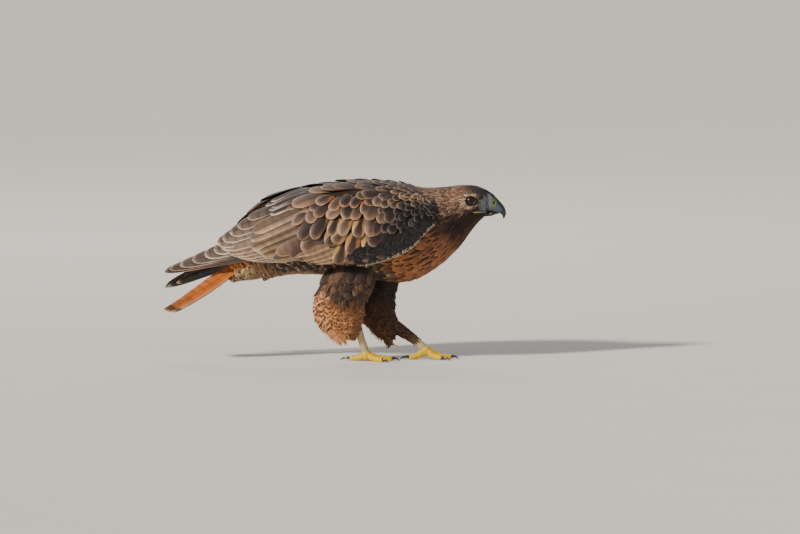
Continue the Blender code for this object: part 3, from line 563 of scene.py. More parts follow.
class Coat:
    """Feathers gathered for one piece of the coat."""

    def __init__(self, name, slot, material):
        self.name, self.slot, self.material = name, slot, material
        self.points, self.layers, self.faces, self.start = [], {}, [], 0

    def add(self, surface, root, tip, looks, band=None, outer=1, **form):
        """Adds feathers. outer is the sign of the side where a vane shows past its neighbour.

        On the bake's map a feather has a patch at its root's place, or with band, two strips
        in that band's height for its two faces.
        """
        rings, vane, length = lay(surface, root, tip, **form)
        count, rows, size = rings.shape[:3]
        columns = form["columns"]
        vane[..., 0] *= outer
        across, share = vane[..., 0], vane[..., 1] / length[:, None, None]
        if band:
            strip = (np.arange(count)[:, None, None] + 0.25) / count + across * 0.2 / count
            here = np.stack([strip, band[0] + (0.05 + 0.9 * share) * (band[1] - band[0])], -1)
            there = here + np.array([0.5 / count, 0])
        else:
            patch = TUFT_PATCH * np.stack([across / 2, share - 0.5], -1)
            here = there = surface.unwrap(root)[:, None, None, :] + patch
        shade = looks.shade[:, None, None] * smooth(-across, -0.55, 0.0)
        shade = 1 - (1 - shade) * (1 - looks.root_shade[:, None, None] * fade(share, 0.5, 0.86))
        shade[:, :, columns:] = 0
        vane[:, :, columns:, 2] += FRINGE_CLEAR
        layers = {
            name: np.repeat(rows_of, rows * size, axis=0) for name, rows_of in looks.packed(length).items()
        }
        layers["tone"].reshape(count, rows, size, 4)[:, :, columns:, :3] = looks.under[:, None, None, :]
        layers.update(vane=vane.reshape(-1, 3), shade=shade.ravel())
        for name, values in layers.items():
            self.layers.setdefault(name, []).append(values)
        self.points.append(packed(rings.reshape(-1, 3)))
        self.join(count, rows, size, columns, here.reshape(-1, 2), there.reshape(-1, 2))

    def join(self, count, rows, size, columns, here, there):
        """Adds the faces of vanes, with their places on the bake's map."""
        index = np.arange(count * rows * size).reshape(count, rows, size)
        beside = np.roll(index, -1, axis=2)
        quads = np.stack([index[:, :-1], beside[:, :-1], beside[:, 1:], index[:, 1:]], -1).reshape(-1, 4)
        upper = np.tile(np.arange(size) < columns - 1, count * (rows - 1))[:, None, None]
        self.faces.append((quads + self.start, np.where(upper, here[quads], there[quads])))
        for ring, way in ((index[:, 0], -1), (index[:, -1], 1)):
            quads = [ring[:, [j, -j, -j - 1, j + 1][::way]] for j in range(1, columns - 2)]
            ends = [ring[:, [0, -1, 1][::way]], ring[:, [columns - 2, columns, columns - 1][::way]]]
            for group in filter(None, (quads, ends)):
                faces = np.concatenate(group)
                self.faces.append((faces + self.start, here[faces]))
        self.start += index.size

    def build(self):
        loops = np.concatenate([faces.ravel() for faces, _ in self.faces])
        sizes = np.concatenate([np.full(len(faces), faces.shape[1]) for faces, _ in self.faces])
        mesh = mesh_of_arrays(self.name, np.concatenate(self.points), loops, sizes)
        for name, values in self.layers.items():
            add_layer(mesh, name, np.concatenate(values))
        bake = mesh.uv_layers.new(name="OFBake")
        places = np.concatenate([place.reshape(-1, 2) for _, place in self.faces])
        bake.uv.foreach_set("vector", places.astype(np.float32).ravel())
        mesh.set_sharp_from_angle(angle=math.radians(70))
        finish_piece(place_object(self.name, mesh), self.material, self.slot)


def add_layer(mesh, name, values):
    """Adds an attribute with one row of numbers for each point."""
    kind, key = {1: ("FLOAT", "value"), 3: ("FLOAT_VECTOR", "vector"), 4: ("FLOAT_COLOR", "color")}[
        values.size // len(mesh.vertices)
    ]
    layer = mesh.attributes.new(name, kind, "POINT")
    layer.data.foreach_set(key, values.astype(np.float32).ravel())


def mesh_of_arrays(name, points, loops, sizes):
    """A mesh of points in metres and each face's corners one after another."""
    mesh = bpy.data.meshes.new(name)
    mesh.vertices.add(len(points))
    mesh.vertices.foreach_set("co", np.asarray(points, np.float32).ravel())
    mesh.loops.add(len(loops))
    mesh.loops.foreach_set("vertex_index", np.asarray(loops, np.int32))
    mesh.polygons.add(len(sizes))
    starts = np.concatenate([[0], np.cumsum(sizes)[:-1]])
    mesh.polygons.foreach_set("loop_start", starts.astype(np.int32))
    mesh.update(calc_edges=True)
    mesh.validate(clean_customdata=False)
    mesh.shade_smooth()
    return mesh


def place_object(name, data):
    made = bpy.data.objects.new(name, data)
    bpy.context.scene.collection.objects.link(made)
    return made


def finish_piece(made, material, slot, *replaced):
    """Gives the object its material, hangs it under the root and hides the nodes that it replaces."""
    made.data.materials.append(material)
    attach(made, "root")
    if replaced:
        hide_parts(*replaced)
    return made


class Wire:
    """A node's output, so that a shader's arithmetic is written as arithmetic."""

    def __init__(self, shader, socket):
        self.shader, self.socket = shader, socket

    def __add__(self, other):
        return self.shader.math("ADD", self, other)

    def __sub__(self, other):
        return self.shader.math("SUBTRACT", self, other)

    def __rsub__(self, other):
        return self.shader.math("SUBTRACT", other, self)

    def __mul__(self, other):
        return self.shader.math("MULTIPLY", self, other)

    def __truediv__(self, other):
        return self.shader.math("DIVIDE", self, other)

    def line(self, slope, start):
        """slope times the value, plus start."""
        return self.shader.math("MULTIPLY_ADD", self, slope, start)


class Shader:
    """A Principled material whose nodes are added one call at a time."""

    def __init__(self, name, roughness, specular=0.3, **fixed):
        self.material = bpy.data.materials.new(name)
        self.material.use_nodes = True
        self.tree = self.material.node_tree
        self.principled = self.tree.nodes["Principled BSDF"]
        self.principled.inputs["Roughness"].default_value = roughness
        self.principled.inputs["Specular IOR Level"].default_value = specular
        for name, value in fixed.items():
            self.principled.inputs[name.replace("_", " ")].default_value = value

    def node(self, kind, inputs, output=0, **settings):
        """Adds a node and returns one output of it, or all of them with output None."""
        made = self.tree.nodes.new(kind)
        for key, value in settings.items():
            setattr(made, key, value)
        for socket, value in inputs.items():
            if isinstance(value, Wire):
                self.tree.links.new(value.socket, made.inputs[socket])
            else:
                value = (*value, 1.0) if isinstance(value, np.ndarray) else value
                made.inputs[socket].default_value = value
        if output is None:
            return [Wire(self, socket) for socket in made.outputs]
        return Wire(self, made.outputs[output])

    def attribute(self, name, output="Color"):
        return self.node("ShaderNodeAttribute", {}, output, attribute_name=name)

    def number(self, name):
        return self.attribute(name, "Fac")

    def split(self, wire):
        return self.node("ShaderNodeSeparateXYZ", {0: wire}, None)

    def grey(self, value):
        return self.node("ShaderNodeCombineXYZ", {0: value, 1: value, 2: value})

    def math(self, operation, *values):
        return self.node("ShaderNodeMath", dict(enumerate(values)), operation=operation)

    def step(self, value, low, high, first=0.0, last=1.0):
        """first up to low and last from high on, softly between."""
        inputs = {"Value": value, "From Min": low, "From Max": high, "To Min": first, "To Max": last}
        return self.node("ShaderNodeMapRange", inputs, interpolation_type="SMOOTHSTEP")

    def fade(self, value, low, high, first=1.0):
        return self.step(value, low, high, first, 0.0)

    def mix(self, share, first, second, blend="MIX"):
        return self.node(
            "ShaderNodeMix", {0: share, 6: first, 7: second}, 2, data_type="RGBA", blend_type=blend
        )

    def place(self):
        return self.node("ShaderNodeTexCoord", {}, "Object")

    def noise(self, scale, detail=4):
        inputs = {"Scale": scale, "Detail": detail, "Roughness": 0.55, "Vector": self.place()}
        return self.node("ShaderNodeTexNoise", inputs)

    def finish(self, colour, height=None, distance=0.0002, strength=0.5):
        self.tree.links.new(colour.socket, self.principled.inputs["Base Color"])
        if height:
            bump = self.node(
                "ShaderNodeBump", {"Height": height, "Distance": distance, "Strength": strength}
            )
            self.tree.links.new(bump.socket, self.principled.inputs["Normal"])
        return self.material


def feather_material(name, roughness, shaft=0.0, spots=False):
    """Vanes with marks of their own: base, bars, band, streak, fringe and fine barbs.

    shaft is how dark the shaft shows, and spots makes narrow dashes of the bars.
    """
    s = Shader(name, roughness, 0.25, Sheen_Weight=0.05, Sheen_Roughness=0.6)
    across, along, rim = s.split(s.attribute("vane", "Vector"))
    tone, chance = s.attribute("tone"), s.attribute("tone", "Alpha")
    side = s.math("ABSOLUTE", across)
    cloud = s.noise(90)
    wave = cloud.line(3.0, -1.5)
    reach = s.attribute("basal", "Alpha") * REACH_SCALE
    past = along - reach * (side * side).line(0.66, 0.5) + wave
    base = s.mix(s.fade(past, -4.0, 3.0) * s.step(reach, 0.5, 2.0), tone, s.attribute("basal"))
    weight, spacing, band = s.split(s.attribute("bars"))
    length = s.attribute("bars", "Alpha") * LENGTH_SCALE
    to_tip = length - along
    turn = (to_tip + wave - side * (12.0 if spots else 2.5)) / (spacing * (REACH_SCALE / (2 * math.pi)))
    barred = s.step(s.math("SINE", turn - chance * 1.2), *((0.55, 0.8) if spots else (0.1, 0.55)))
    if spots:
        rim_row = s.step(side, 0.5, 0.58) * s.fade(side, 0.82, 0.9)
        barred = barred * s.math("MAXIMUM", s.fade(side, 0.16, 0.24), rim_row)
    mark = s.attribute("mark")
    base = s.mix(barred * weight, base, mark)
    base = s.mix(s.step(to_tip, 5.0, 7.0) * s.fade(to_tip, 13.0, 15.5) * band, base, mark)
    reach = s.attribute("mark", "Alpha")
    soft = reach.line(0.45, 0.03)
    streak = s.fade(side - s.step(to_tip, 1.0, 6.0) * reach, soft * -1.0, soft)
    base = s.mix(streak * s.step(reach, 0.02, 0.1), base, mark)
    edge = s.attribute("fringe", "Alpha") * FRINGE_SCALE
    ragged = edge * (cloud + 0.5)
    fringe = s.fade(rim, ragged * 0.3, ragged.line(1.15, 0.02))
    fringe = fringe * s.step(to_tip / length, 0.14, 0.46, 1.0, 0.15)
    halo = s.fade(rim, 0.0, edge.line(3.2, 0.05), 0.3)
    worn = s.fade(to_tip / s.math("MINIMUM", length * 0.22, 9.0), 0.0, 1.0, 0.6) * cloud
    fringe = s.math("MAXIMUM", fringe, s.math("MAXIMUM", halo, worn))
    base = s.mix(fringe * s.step(edge, 0.05, 0.2), base, s.attribute("fringe"))
    if shaft:
        base = s.mix(s.fade(side, 0.02, 0.05, shaft), base, DARK_BAR * 0.6)
    barbs = s.math("SINE", (along - side * 5.0) * 9.0)
    light = barbs * 0.04 + (cloud * 0.9 + chance * 0.36 + 0.4)
    colour = s.mix(1.0, base, s.grey(light * (1.0 - s.number("shade"))), "MULTIPLY")
    return s.finish(colour, barbs * 0.6 + s.fade(side, 0.0, 0.07) * 1.5, 0.00012)


def skin_material():
    s = Shader("skin", 0.75, 0.2)
    cloud = s.noise(400)
    return s.finish(
        s.mix(1.0, s.attribute("tone"), s.grey(cloud.line(0.5, 0.55)), "MULTIPLY"), cloud, 0.0004, 0.6
    )


def rings_of(surface, start, end, pitch, spacing, rng, low=-math.pi, high=math.pi, closed=True):
    """Staggered sites in rows across v, from u = start to end. pitch and spacing may depend on u."""
    pitch, spacing = (rule if callable(rule) else lambda u, rule=rule: rule for rule in (pitch, spacing))
    sites = []
    u, row = start, 0
    way = 1 if end > start else -1
    while (end - u) * way > 0:
        v = np.linspace(low, high, 121)
        line, by_u, _, _ = surface.sense(np.full_like(v, u), v)
        reach = np.concatenate([[0], np.cumsum(np.linalg.norm(np.diff(line, axis=0), axis=1))])
        pace = np.median(np.linalg.norm(by_u, axis=1))
        count = max(3, int(round(reach[-1] / spacing(u))))
        place = (np.arange(count) + 0.25 + 0.5 * (row % 2) + rng.normal(0, 0.1, count)) / count * reach[-1]
        place = place % reach[-1] if closed else np.clip(place, 0, reach[-1])
        jitter = rng.normal(0, 0.12, count) * pitch(u) / pace
        sites.append(np.column_stack([u + jitter, np.interp(place, reach, v)]))
        u += way * pitch(u) / pace
        row += 1
    return np.concatenate(sites)


def from_back(sites):
    """How far round from the back sites are, in degrees."""
    return np.degrees(np.abs(sites[:, 1]))


def from_eye(points):
    return np.hypot(points[:, 0] - EYEBALL[0], (points[:, 2] - EYEBALL[2]) * 1.08)


def under_wing(x, degrees):
    """True where a folded wing hides the trunk."""
    upper, lower = cloak_columns(x)[4:6]
    return (x < 122) & (x > -110) & (degrees > upper + 12) & (degrees < lower - 20)


def trunk_colours(s, degrees, points, rng):
    """The looks of the feathers on the trunk, neck and head, by their place."""
    count = len(s)
    x, z = points[:, 0], points[:, 2]
    pale, buff = rng.random((2, count))
    lores = smooth(x + rng.normal(0, 1.0, count), 198, 205) * fade(z, 247, 251) * smooth(z, 225, 228)
    mottle = rng.random(count) ** 2
    dotted = rng.random(count) < 0.36
    low, keel, head = smooth(degrees, 84, 112), smooth(degrees, 142, 168), smooth(s, 9.4, 10.1)
    breast = smooth(degrees, 80, 96) * smooth(s + 0.9 * hill(degrees, 100, 40), 5.6, 6.5)
    side = smooth(degrees, 52, 74) * (1 - smooth(degrees, 128, 150) * (1 - 0.8 * smooth(s, 8.6, 9.6)))
    rim = hill(from_eye(points), 11.0, 2.8) * smooth(s, 10, 10.5)
    lowest = 195 + 0.39 * (x - 147)
    shadowed = smooth(s, 7.7, 8.5) * fade(z, 221, 228) * smooth(z - lowest, -5, 4)
    tone = over(
        MANTLE,
        (TROUSER, 0.35 * fade(s, 0.6, 1.8)),
        (FLANK, low * smooth(s, 1.2, 2.2)),
        (BELLY, keel * smooth(s, 0.6, 1.4) * fade(s, 4.6, 5.6)),
        (UNDERTAIL, smooth(degrees, 80, 105) * fade(s, 1.0, 2.0)),
        (BREAST, breast * fade(s, 8.2, 9.2)),
        (BREAST_PALE, 0.35 * pale * breast),
        (NAPE, fade(degrees, 55, 80) * smooth(s, 7.9, 8.9)),
        (HEAD_RUFOUS * 0.6, 0.75 * side * smooth(s, 6.4, 7.8)),
        (THROAT, side * smooth(s, 8.2, 9.2)),
        (THROAT_BUFF, smooth(degrees, 136, 160) * smooth(s, 8.2, 9.2) * (0.2 + 0.7 * buff)),
        (CHEEK, head * smooth(degrees, 50, 64) * fade(degrees, 92, 106)),
        (CROWN, head * fade(degrees, 32, 54)),
        (HEAD_RUFOUS, hill(x, 168, 20) * hill(z, 250, 11) * smooth(degrees, 24, 38) * smooth(s, 9.0, 9.6)),
        (CHEEK_PALE, hill(x, 183, 12) * hill(z, 234, 6) * 0.85),
        (EYE_RING, rim * 0.95),
        (BROW_PALE, hill(z, 251, 2.4) * smooth(x, 184, 190) * fade(x, 204, 210) * 0.8),
        (CROWN * 0.42, head * smooth(x, 172, 188) * smooth(z, 250, 255)),
        (LORES * 0.86, lores),
        (THROAT, hill(x, 196, 9) * hill(z, 229.5, 3.4) * 0.8),
        (FOREHEAD, smooth(x, 192, 202) * smooth(z, 247, 252)),
        (THROAT, 0.9 * shadowed * fade(x, 204, 212)),
        (STREAK_DARK * 0.7, hill(x, 204, 4.5) * hill(z, 246.5, 3.5) * 0.95),
        (NAPE_BUFF, 0.85 * mottle * smooth(s, 8.2, 9.0) * fade(degrees, 50, 90) * fade(x, 176, 196)),
        (
            CHEEK_PALE,
            0.85 * mottle * head * smooth(degrees, 40, 60) * fade(degrees, 100, 116) * (1 - lores)
        ),
        (THROAT * 0.6, 0.65 * dotted * head * (1 - 0.6 * lores)),
    )
    lines = np.sin(degrees / 1.75 + 2.2 * np.sin(1.9 * s + degrees / 23)) * rng.uniform(0.5, 1, count)
    spread = 0.32 * lines * (1 - 0.8 * lores) + 0.42 * (1 - 0.5 * lores) * rng.uniform(-1, 1, count)
    tone = tone * (1 + smooth(s, 7.6, 8.8) * spread)[:, None]
    looks = Looks(count, rng, tone, root_shade=0.3, spacing=10.0)
    looks.under = over(tone, (STREAK_DARK, np.full(count, 0.3)))
    looks.fringe = over(
        FRINGE_BUFF,
        (NAPE_BUFF, smooth(s, 8, 9)),
        (BREAST_PALE, low * smooth(s, 5, 6)),
        (tone * 0.5, side * smooth(s, 8.2, 8.8) * smooth(degrees, 84, 108)),
        (tone, head * (0.35 + 0.65 * smooth(x, 172, 192))),
    )
    looks.fringe_width = 0.55 * (1 - low) * (1 - 0.65 * head) + 0.3 * low * (1 - 0.5 * head)
    looks.mark = over(STREAK_DARK, (CROWN * 0.45, head * (1 - low)))
    chance = rng.random(count)
    near_wing = fade(degrees, 96, 128)
    dark = (chance < 0.56 + 0.3 * near_wing) * breast * (
        0.14 + (0.12 + 0.16 * near_wing) * rng.random(count)
    )
    looks.streak = np.where(s < 9.2, dark + 0.05 * breast, 0.0)
    unmarked = 1 - np.maximum(rim, 0.6 * lores)
    looks.streak = np.maximum(looks.streak, 0.3 * smooth(s, 8.4, 9.2) * unmarked * (1 - side * 0.3))
    spots = (chance > 0.55) & (s > 1.8) & (s < 6.2) & (degrees > 86) & (degrees < 150) & (breast < 0.4)
    looks.basal = np.where(spots[:, None], FLANK_SPOT, tone)
    looks.fringe = np.where(spots[:, None], FLANK_SPOT, looks.fringe)
    looks.fringe_width = np.where(spots, 1.5, looks.fringe_width)
    looks.bars = 0.85 * smooth(degrees, 90, 110) * fade(s, 1.4, 2.4) + 0.2 * keel * fade(s, 5, 6)
    return looks


# The coats of the trunk: slot, last and first place, rows and columns of points in a feather,
# its thickness, the rings' pitch and spacing as shares of its length, and its form.
TRUNK_COATS = {
    "coat_head": ("head", HEAD_AT, FACE_AT - 0.03, 5, 3, 0.3, 0.2, 0.22, POINTED_FORM),
    "coat_neck": ("neck", NECK_AT, HEAD_AT, 6, 5, 0.35, 0.22, 0.27, POINTED_FORM),
    "coat_body": ("torso", 0.9, NECK_AT, 8, 5, 0.45, 0.32, 0.27, BODY_FORM),
}


def trunk_coats(materials):
    """Body, neck and head feathers in staggered rings from the face back."""
    rng = np.random.default_rng(SEED)
    for name, (slot, end, start, rows, columns, thick, pitch, spacing, form) in TRUNK_COATS.items():
        sites = rings_of(
            TRUNK_SURFACE, start, end, lambda s: pitch * np.interp(s, LENGTH_AT, LENGTHS),
            lambda s: spacing * np.interp(s, LENGTH_AT, LENGTHS), rng,
        )
        points, degrees = trunk(*sites.T), from_back(sites)
        reach = 7.4 + 2.8 * smooth(points[:, 0], 184, 196)
        on_eye = (from_eye(points) < reach) & (sites[:, 0] > 10) & (degrees > 40) & (degrees < 120)
        lips = (np.abs(points[:, 2] - GAPE[1][1]) < 1.2) & (points[:, 0] > GAPE[0][0]) & (degrees < 150)
        kept = ~under_wing(points[:, 0], degrees) & ~on_eye & ~lips
        sites, degrees, points = sites[kept], degrees[kept], points[kept]
        s, count = sites[:, 0], len(sites)
        bare = smooth(points[:, 0], 198, 203) * smooth(degrees, 40, 60)
        length = np.interp(s, LENGTH_AT, LENGTHS) * (1 + rng.normal(0, 0.07, count)) * (1 - 0.35 * bare)
        tips = TRUNK_SURFACE.toward(sites, 180 + rng.normal(0, 5, count), length)
        looks = trunk_colours(s, degrees, (points + trunk(*tips.T)) / 2, rng)
        slim = 0.6 - 0.16 * smooth(s, 5.2, 6.2) * smooth(degrees, 80, 96) - 0.22 * smooth(s, 8, 9.4)
        fill = 3.0 * (hill(s, 4.2, 3.4) * fade(degrees, 52, 74) + hill(s, 6.8, 1.6) * hill(degrees, 98, 20))
        coat = Coat(name, slot, materials["soft"])
        coat.add(
            TRUNK_SURFACE, sites, tips, looks, width=length * np.where(bare > 0.5, 0.3, slim), form=form,
            rows=rows, columns=columns, thick=thick, camber=0.16, curl=0.02 * length,
            height=0.4 + fill + rng.normal(0, 0.04, count) * length / 5,
            drop=0.75 * np.interp(s, COAT_AT, COAT_DEPTH) + 0.4 * fill, roll=rng.normal(0, 0.03, count),
            sway=rng.normal(0, 0.02, count) * length,
        )
        coat.build()


def lore_coat(materials):
    """Fine bristly feathers over the rear of the cere and the forehead, and under the bill."""
    rng = np.random.default_rng(SEED + 5)
    coat = Coat("coat_lores", "head", materials["soft"])
    bristle = {"form": WISP_FORM, "rows": 5, "columns": 3, "thick": 0.22, "drop": 0.9, "camber": 0.2}
    sites = rings_of(BILL_SURFACE, 1.3, -0.5, 1.0, 1.0, rng)
    degrees = from_back(sites)
    edge = 0.68 + 0.55 * fade(degrees, 30, 46) + rng.normal(0, 0.05, len(sites))
    kept = (sites[:, 0] < edge) & (degrees < 150)
    sites, degrees = sites[kept], degrees[kept]
    count = len(sites)
    top = fade(degrees, 34, 56)
    back = np.maximum(top, (sites[:, 0] < 0.22) & (rng.random(count) < 0.6))
    heading = 180 * back + (1 - back) * np.sign(sites[:, 1]) * -20 + rng.normal(0, 9, count)
    tips = BILL_SURFACE.toward(sites, heading, 4.2 + rng.normal(0, 0.5, count))
    tone = over(
        LORES * 0.8,
        (FOREHEAD, top),
        (LID_GREY, 0.75 * rng.random(count) ** 2),
        (THROAT, smooth(degrees, 118, 140) * 0.5),
    )
    looks = Looks(count, rng, tone, streak=0.25, mark=tone * 0.5)
    roll = rng.normal(0, 0.04, count)
    coat.add(BILL_SURFACE, sites, tips, looks, width=1.6, height=0.6, roll=roll, curl=0.1, **bristle)
    sites = rings_of(CHIN_SURFACE, 1.15, -0.6, 1.0, 1.1, rng, math.pi * 0.34, math.pi * 1.66, closed=False)
    count = len(sites)
    tone = over(THROAT, (BROW_PALE, 0.7 * rng.random(count) ** 3))
    looks = Looks(count, rng, tone, streak=0.2, mark=tone * 0.5)
    tips = CHIN_SURFACE.toward(sites, 180 + rng.normal(0, 10, count), 4.6 + rng.normal(0, 0.5, count))
    roll = rng.normal(0, 0.05, count)
    coat.add(CHIN_SURFACE, sites, tips, looks, width=1.3, height=0.8, roll=roll, curl=0.15, **bristle)
    coat.build()


# Where each primary's tip lies, from the outermost to the innermost.
PRIMARY_TIPS = np.array([
    (-254, 104), (-267, 100), (-272, 93), (-264, 84), (-249, 76), (-231, 69), (-213, 63), (-199, 58),
    (-189, 55), (-181, 53),
], float)
PRIMARY_ROOTS = ((-66, 114), (-76, 76))
# The other rows of flight feathers, from the lowest layer up: the count, first and last root and
# tip in mm and degrees with the bow between them, first and last width and height, how much the
# tips stray, the looks and the form. worn is how much buff there is in some feathers.
FLIGHT_TIERS = (
    (9, ((10, 122), (-36, 80), (0, 0)), ((-124, 124), (-186, 66), (0, 4)), (25, 27), (-7.0, -1.0), (1.2, 0.8),
     {"tone": SECONDARY, "fringe_width": 1.0, "bars": 0.3, "spacing": 15, "under": FRINGE_BUFF, "shade": 0.45,
      "root_shade": 0.2}, {"drop": 5, "camber": 0.04, "sway": 1}),
    (5, ((-34, 72), (-52, 36), (0, 0)), ((-192, 52), (-146, 24), (-4, 2)), (30, 30), (0.0, 2.6), (1.2, 0.8),
     {"tone": TERTIAL, "fringe_width": 0.8, "bars": 0.4, "spacing": 14, "under": FRINGE_BUFF, "shade": 0.5},
     {"drop": 11, "camber": 0.05, "sway": 1}),
    (6, ((-36, 98), (-40, 48), (0, 0)), ((-106, 112), (-138, 60), (-13, 5)), (25, 30), (-1.5, 3.0), (3, 2),
     {"tone": INNER_SECONDARY, "worn": 0.35, "fringe_width": 1.6, "bars": 0.14, "spacing": 14, "shade": 0.75,
      "root_shade": 0.3}, {"drop": 7, "camber": 0.14, "roll": 0.06, "sway": 3}),
    (5, ((-36, 42), (-56, 14), (0, 0)), ((-104, 46), (-116, 18), (-4, 0)), (13, 16), (3.4, 6.0), (6, 2.5),
     {"tone": COVERT, "fringe_width": 1.2, "bars": 0.1, "spacing": 14, "shade": 0.7, "root_shade": 0.3},
     {"drop": 5, "camber": 0.12}),
)


def between(first, last, count):
    """Rows evenly from first to last."""
    share = np.linspace(0, 1, count)
    return np.outer(1 - share, first) + np.outer(share, last)


def wing_tier(side, coat, rng, count, roots, tips, widths, heights, looks, stray, **form):
    """A row of wing feathers. roots and tips are first, last and bow, in mm and degrees."""
    share = np.linspace(0, 1, count)
    bowed = 4 * share * (1 - share)
    root, tip = (between(*ends[:2], count) + np.outer(bowed, ends[2]) for ends in (roots, tips))
    tip = tip + rng.normal(0, 1, (count, 2)) * stray
    tip[:, 1] = np.minimum(tip[:, 1], lower_edge(tip[:, 0]))
    width, height = (ends[0] + (ends[1] - ends[0]) * share for ends in (widths, heights))
    coat.add(CLOAKS[side], root, tip, looks, outer=-side, width=width, height=height, thin=True, **form)


def flight_feathers(side, materials):
    """Primaries, secondaries, tertials and the long inner feathers over them."""
    rng = np.random.default_rng(SEED + 10 + side)
    coat = Coat("flight_" + SIDE_NAMES[side], "wing", materials["flight"])
    solid = {"rows": 22, "columns": 9, "thick": 0.6, "form": FLIGHT_FORM}
    tiers = len(FLIGHT_TIERS) + 1
    count = len(PRIMARY_TIPS)
    share = np.linspace(0, 1, count)
    tone = over(PRIMARY, (FRINGE_BROWN, fade(share, 0.08, 0.2) * (0.6 if side == RIGHT else 0)))
    looks = Looks(
        count, rng, tone, fringe=FRINGE_PALE, fringe_width=1.7, bars=0.25, spacing=17, under=WING_SHADE,
        shade=0.35
    )
    coat.add(
        CLOAKS[side], between(*PRIMARY_ROOTS, count), PRIMARY_TIPS, looks, (0, 1 / tiers), -side,
        width=32.0, height=-15.4 + 7.4 * share, drop=0.5, camber=0.03, sway=-1.5 * side, thin=True, **solid,
    )
    for tier, (count, roots, tips, widths, heights, stray, given, form) in enumerate(FLIGHT_TIERS, 1):
        looks = {"fringe": FRINGE_PALE} | given
        if "worn" in looks:
            looks["tone"] = over(looks["tone"], (FRINGE_BUFF, looks.pop("worn") * rng.random(count)))
        looks = Looks(count, rng, **looks)
        form = form | solid | {"roll": form.get("roll", 0) * side, "sway": -form.get("sway", 0) * side}
        band = (tier / tiers, (tier + 1) / tiers)
        wing_tier(side, coat, rng, count, roots, tips, widths, heights, looks, stray, band=band, **form)
    coat.build()


# The greater coverts and the buff, barred ones at the wing's lower edge: roots and tips, each
# as first, last and bow in mm and degrees.
GREATER = (((60, 96), (-38, 84), (0, 8)), ((46, 124), (-100, 106), (-2, 14)))
BARRED = (((-24, 103), (4, 117), (0, 0)), ((-79, 116), (-44, 127), (2, 2)))
# How far apart the rows of median coverts are, at degrees from the back.
MEDIAN_AT, MEDIAN_PITCH = (36, 60, 92), (15, 18, 21)
# How long the scapulars and lesser coverts are, at places along the bird.
SCAPULAR_AT, SCAPULAR_LENGTHS = (-80, -30, 20, 60, 95, 118, 138), (62, 60, 54, 36, 22, 15, 11)


def tips_inside(tips, clear):
    """Keeps feathers' ends inside the wing's lower edge."""
    tips[:, 1] = np.minimum(tips[:, 1], lower_edge(tips[:, 0]) - clear)
    return tips


def covert_looks(x, degrees, length, rng):
    """The looks of the median and lesser coverts and scapulars, by their roots' place."""
    count = len(x)
    back = fade(degrees, 22, 38) * smooth(x, -10, 40)
    # wrist marks the wing's front, painted in shade: near-black tone, a grey fringe and narrower fringes.
    wrist = smooth(x, 52, 92) * smooth(degrees, 34, 56)
    tone = over(
        COVERT, (COVERT_WORN, 0.9 * rng.random(count) ** 1.3), (MANTLE, 0.8 * back),
        (SHOULDER_SHADE, 0.95 * wrist)
    )
    looks = Looks(count, rng, tone, mark=tone * 0.5)
    looks.fringe = over(
        FRINGE_BROWN,
        (FRINGE_BUFF, 0.6 * rng.random(count)),
        (BASAL_RUFOUS, 0.25 * rng.random(count) * fade(degrees, 50, 70)),
        (SHOULDER_EDGE, wrist),
        (tone, 0.6 * back),
    )
    looks.fringe_width = 1.35 - (0.5 + 0.5 * rng.random(count)) * wrist + rng.normal(0, 0.2, count)
    band = hill(degrees, 84, 34) * hill(x, 6, 62)
    ruddy = hill(degrees, 38, 14) * hill(x, -20, 76)
    looks.streak = 0.34 + 0.2 * rng.random(count) - 0.1 * band
    looks.tone = looks.tone * rng.uniform(0.8, 1.2, count)[:, None]
    buff = (0.25 + 0.75 * rng.random(count)) * smooth(band, 0.2, 0.6)
    looks.basal = over(BASAL_RUFOUS, (BASAL_BUFF, buff))
    painted = np.maximum(band * 1.05, ruddy * 0.9) + rng.normal(0, 0.25, count)
    looks.basal_reach = length * 0.92 * smooth(painted, 0.3, 0.95)
    return looks


def covert_coat(side, materials):
    """Greater coverts, rows of median coverts that point down, lesser coverts and scapulars."""
    rng = np.random.default_rng(SEED + 20 + side)
    coat = Coat("coverts_" + SIDE_NAMES[side], "wing", materials["covert"])
    solid = {"rows": 10, "columns": 7, "thick": 0.6}
    blunt = solid | {"form": COVERT_FORM}
    count = 11
    share = np.linspace(0, 1, count)
    # The front greater coverts are darkened towards near-black: painted shade.
    tone = over(
        COVERT, (COVERT_WORN, share * rng.random(count)), (SHOULDER_SHADE, 0.8 * fade(share, 0, 0.3))
    )
    looks = Looks(count, rng, tone, fringe_width=1.3, bars=0.2)
    wing_tier(
        side, coat, rng, count, *GREATER, (21, 27), (-1.0, 0.4), looks, (3, 1.5), drop=7, roll=0.05,
        camber=0.2, **blunt
    )
    looks = Looks(
        4, rng, BARRED_BUFF, fringe=FRINGE_BROWN, fringe_width=1.2, bars=0.3, spacing=11,
        mark=BASAL_RUFOUS * 0.6, shade=0.7, root_shade=0.2,
    )
    wing_tier(
        side, coat, rng, 4, *BARRED, (15, 17), (2.4, 1.0), looks, (1, 0.5), drop=3, roll=0.08, camber=0.2,
        form=POINTED_FORM, **solid,
    )
    median_coverts(side, coat, rng, blunt)
    scapulars(side, coat, rng, blunt)
    coat.build()


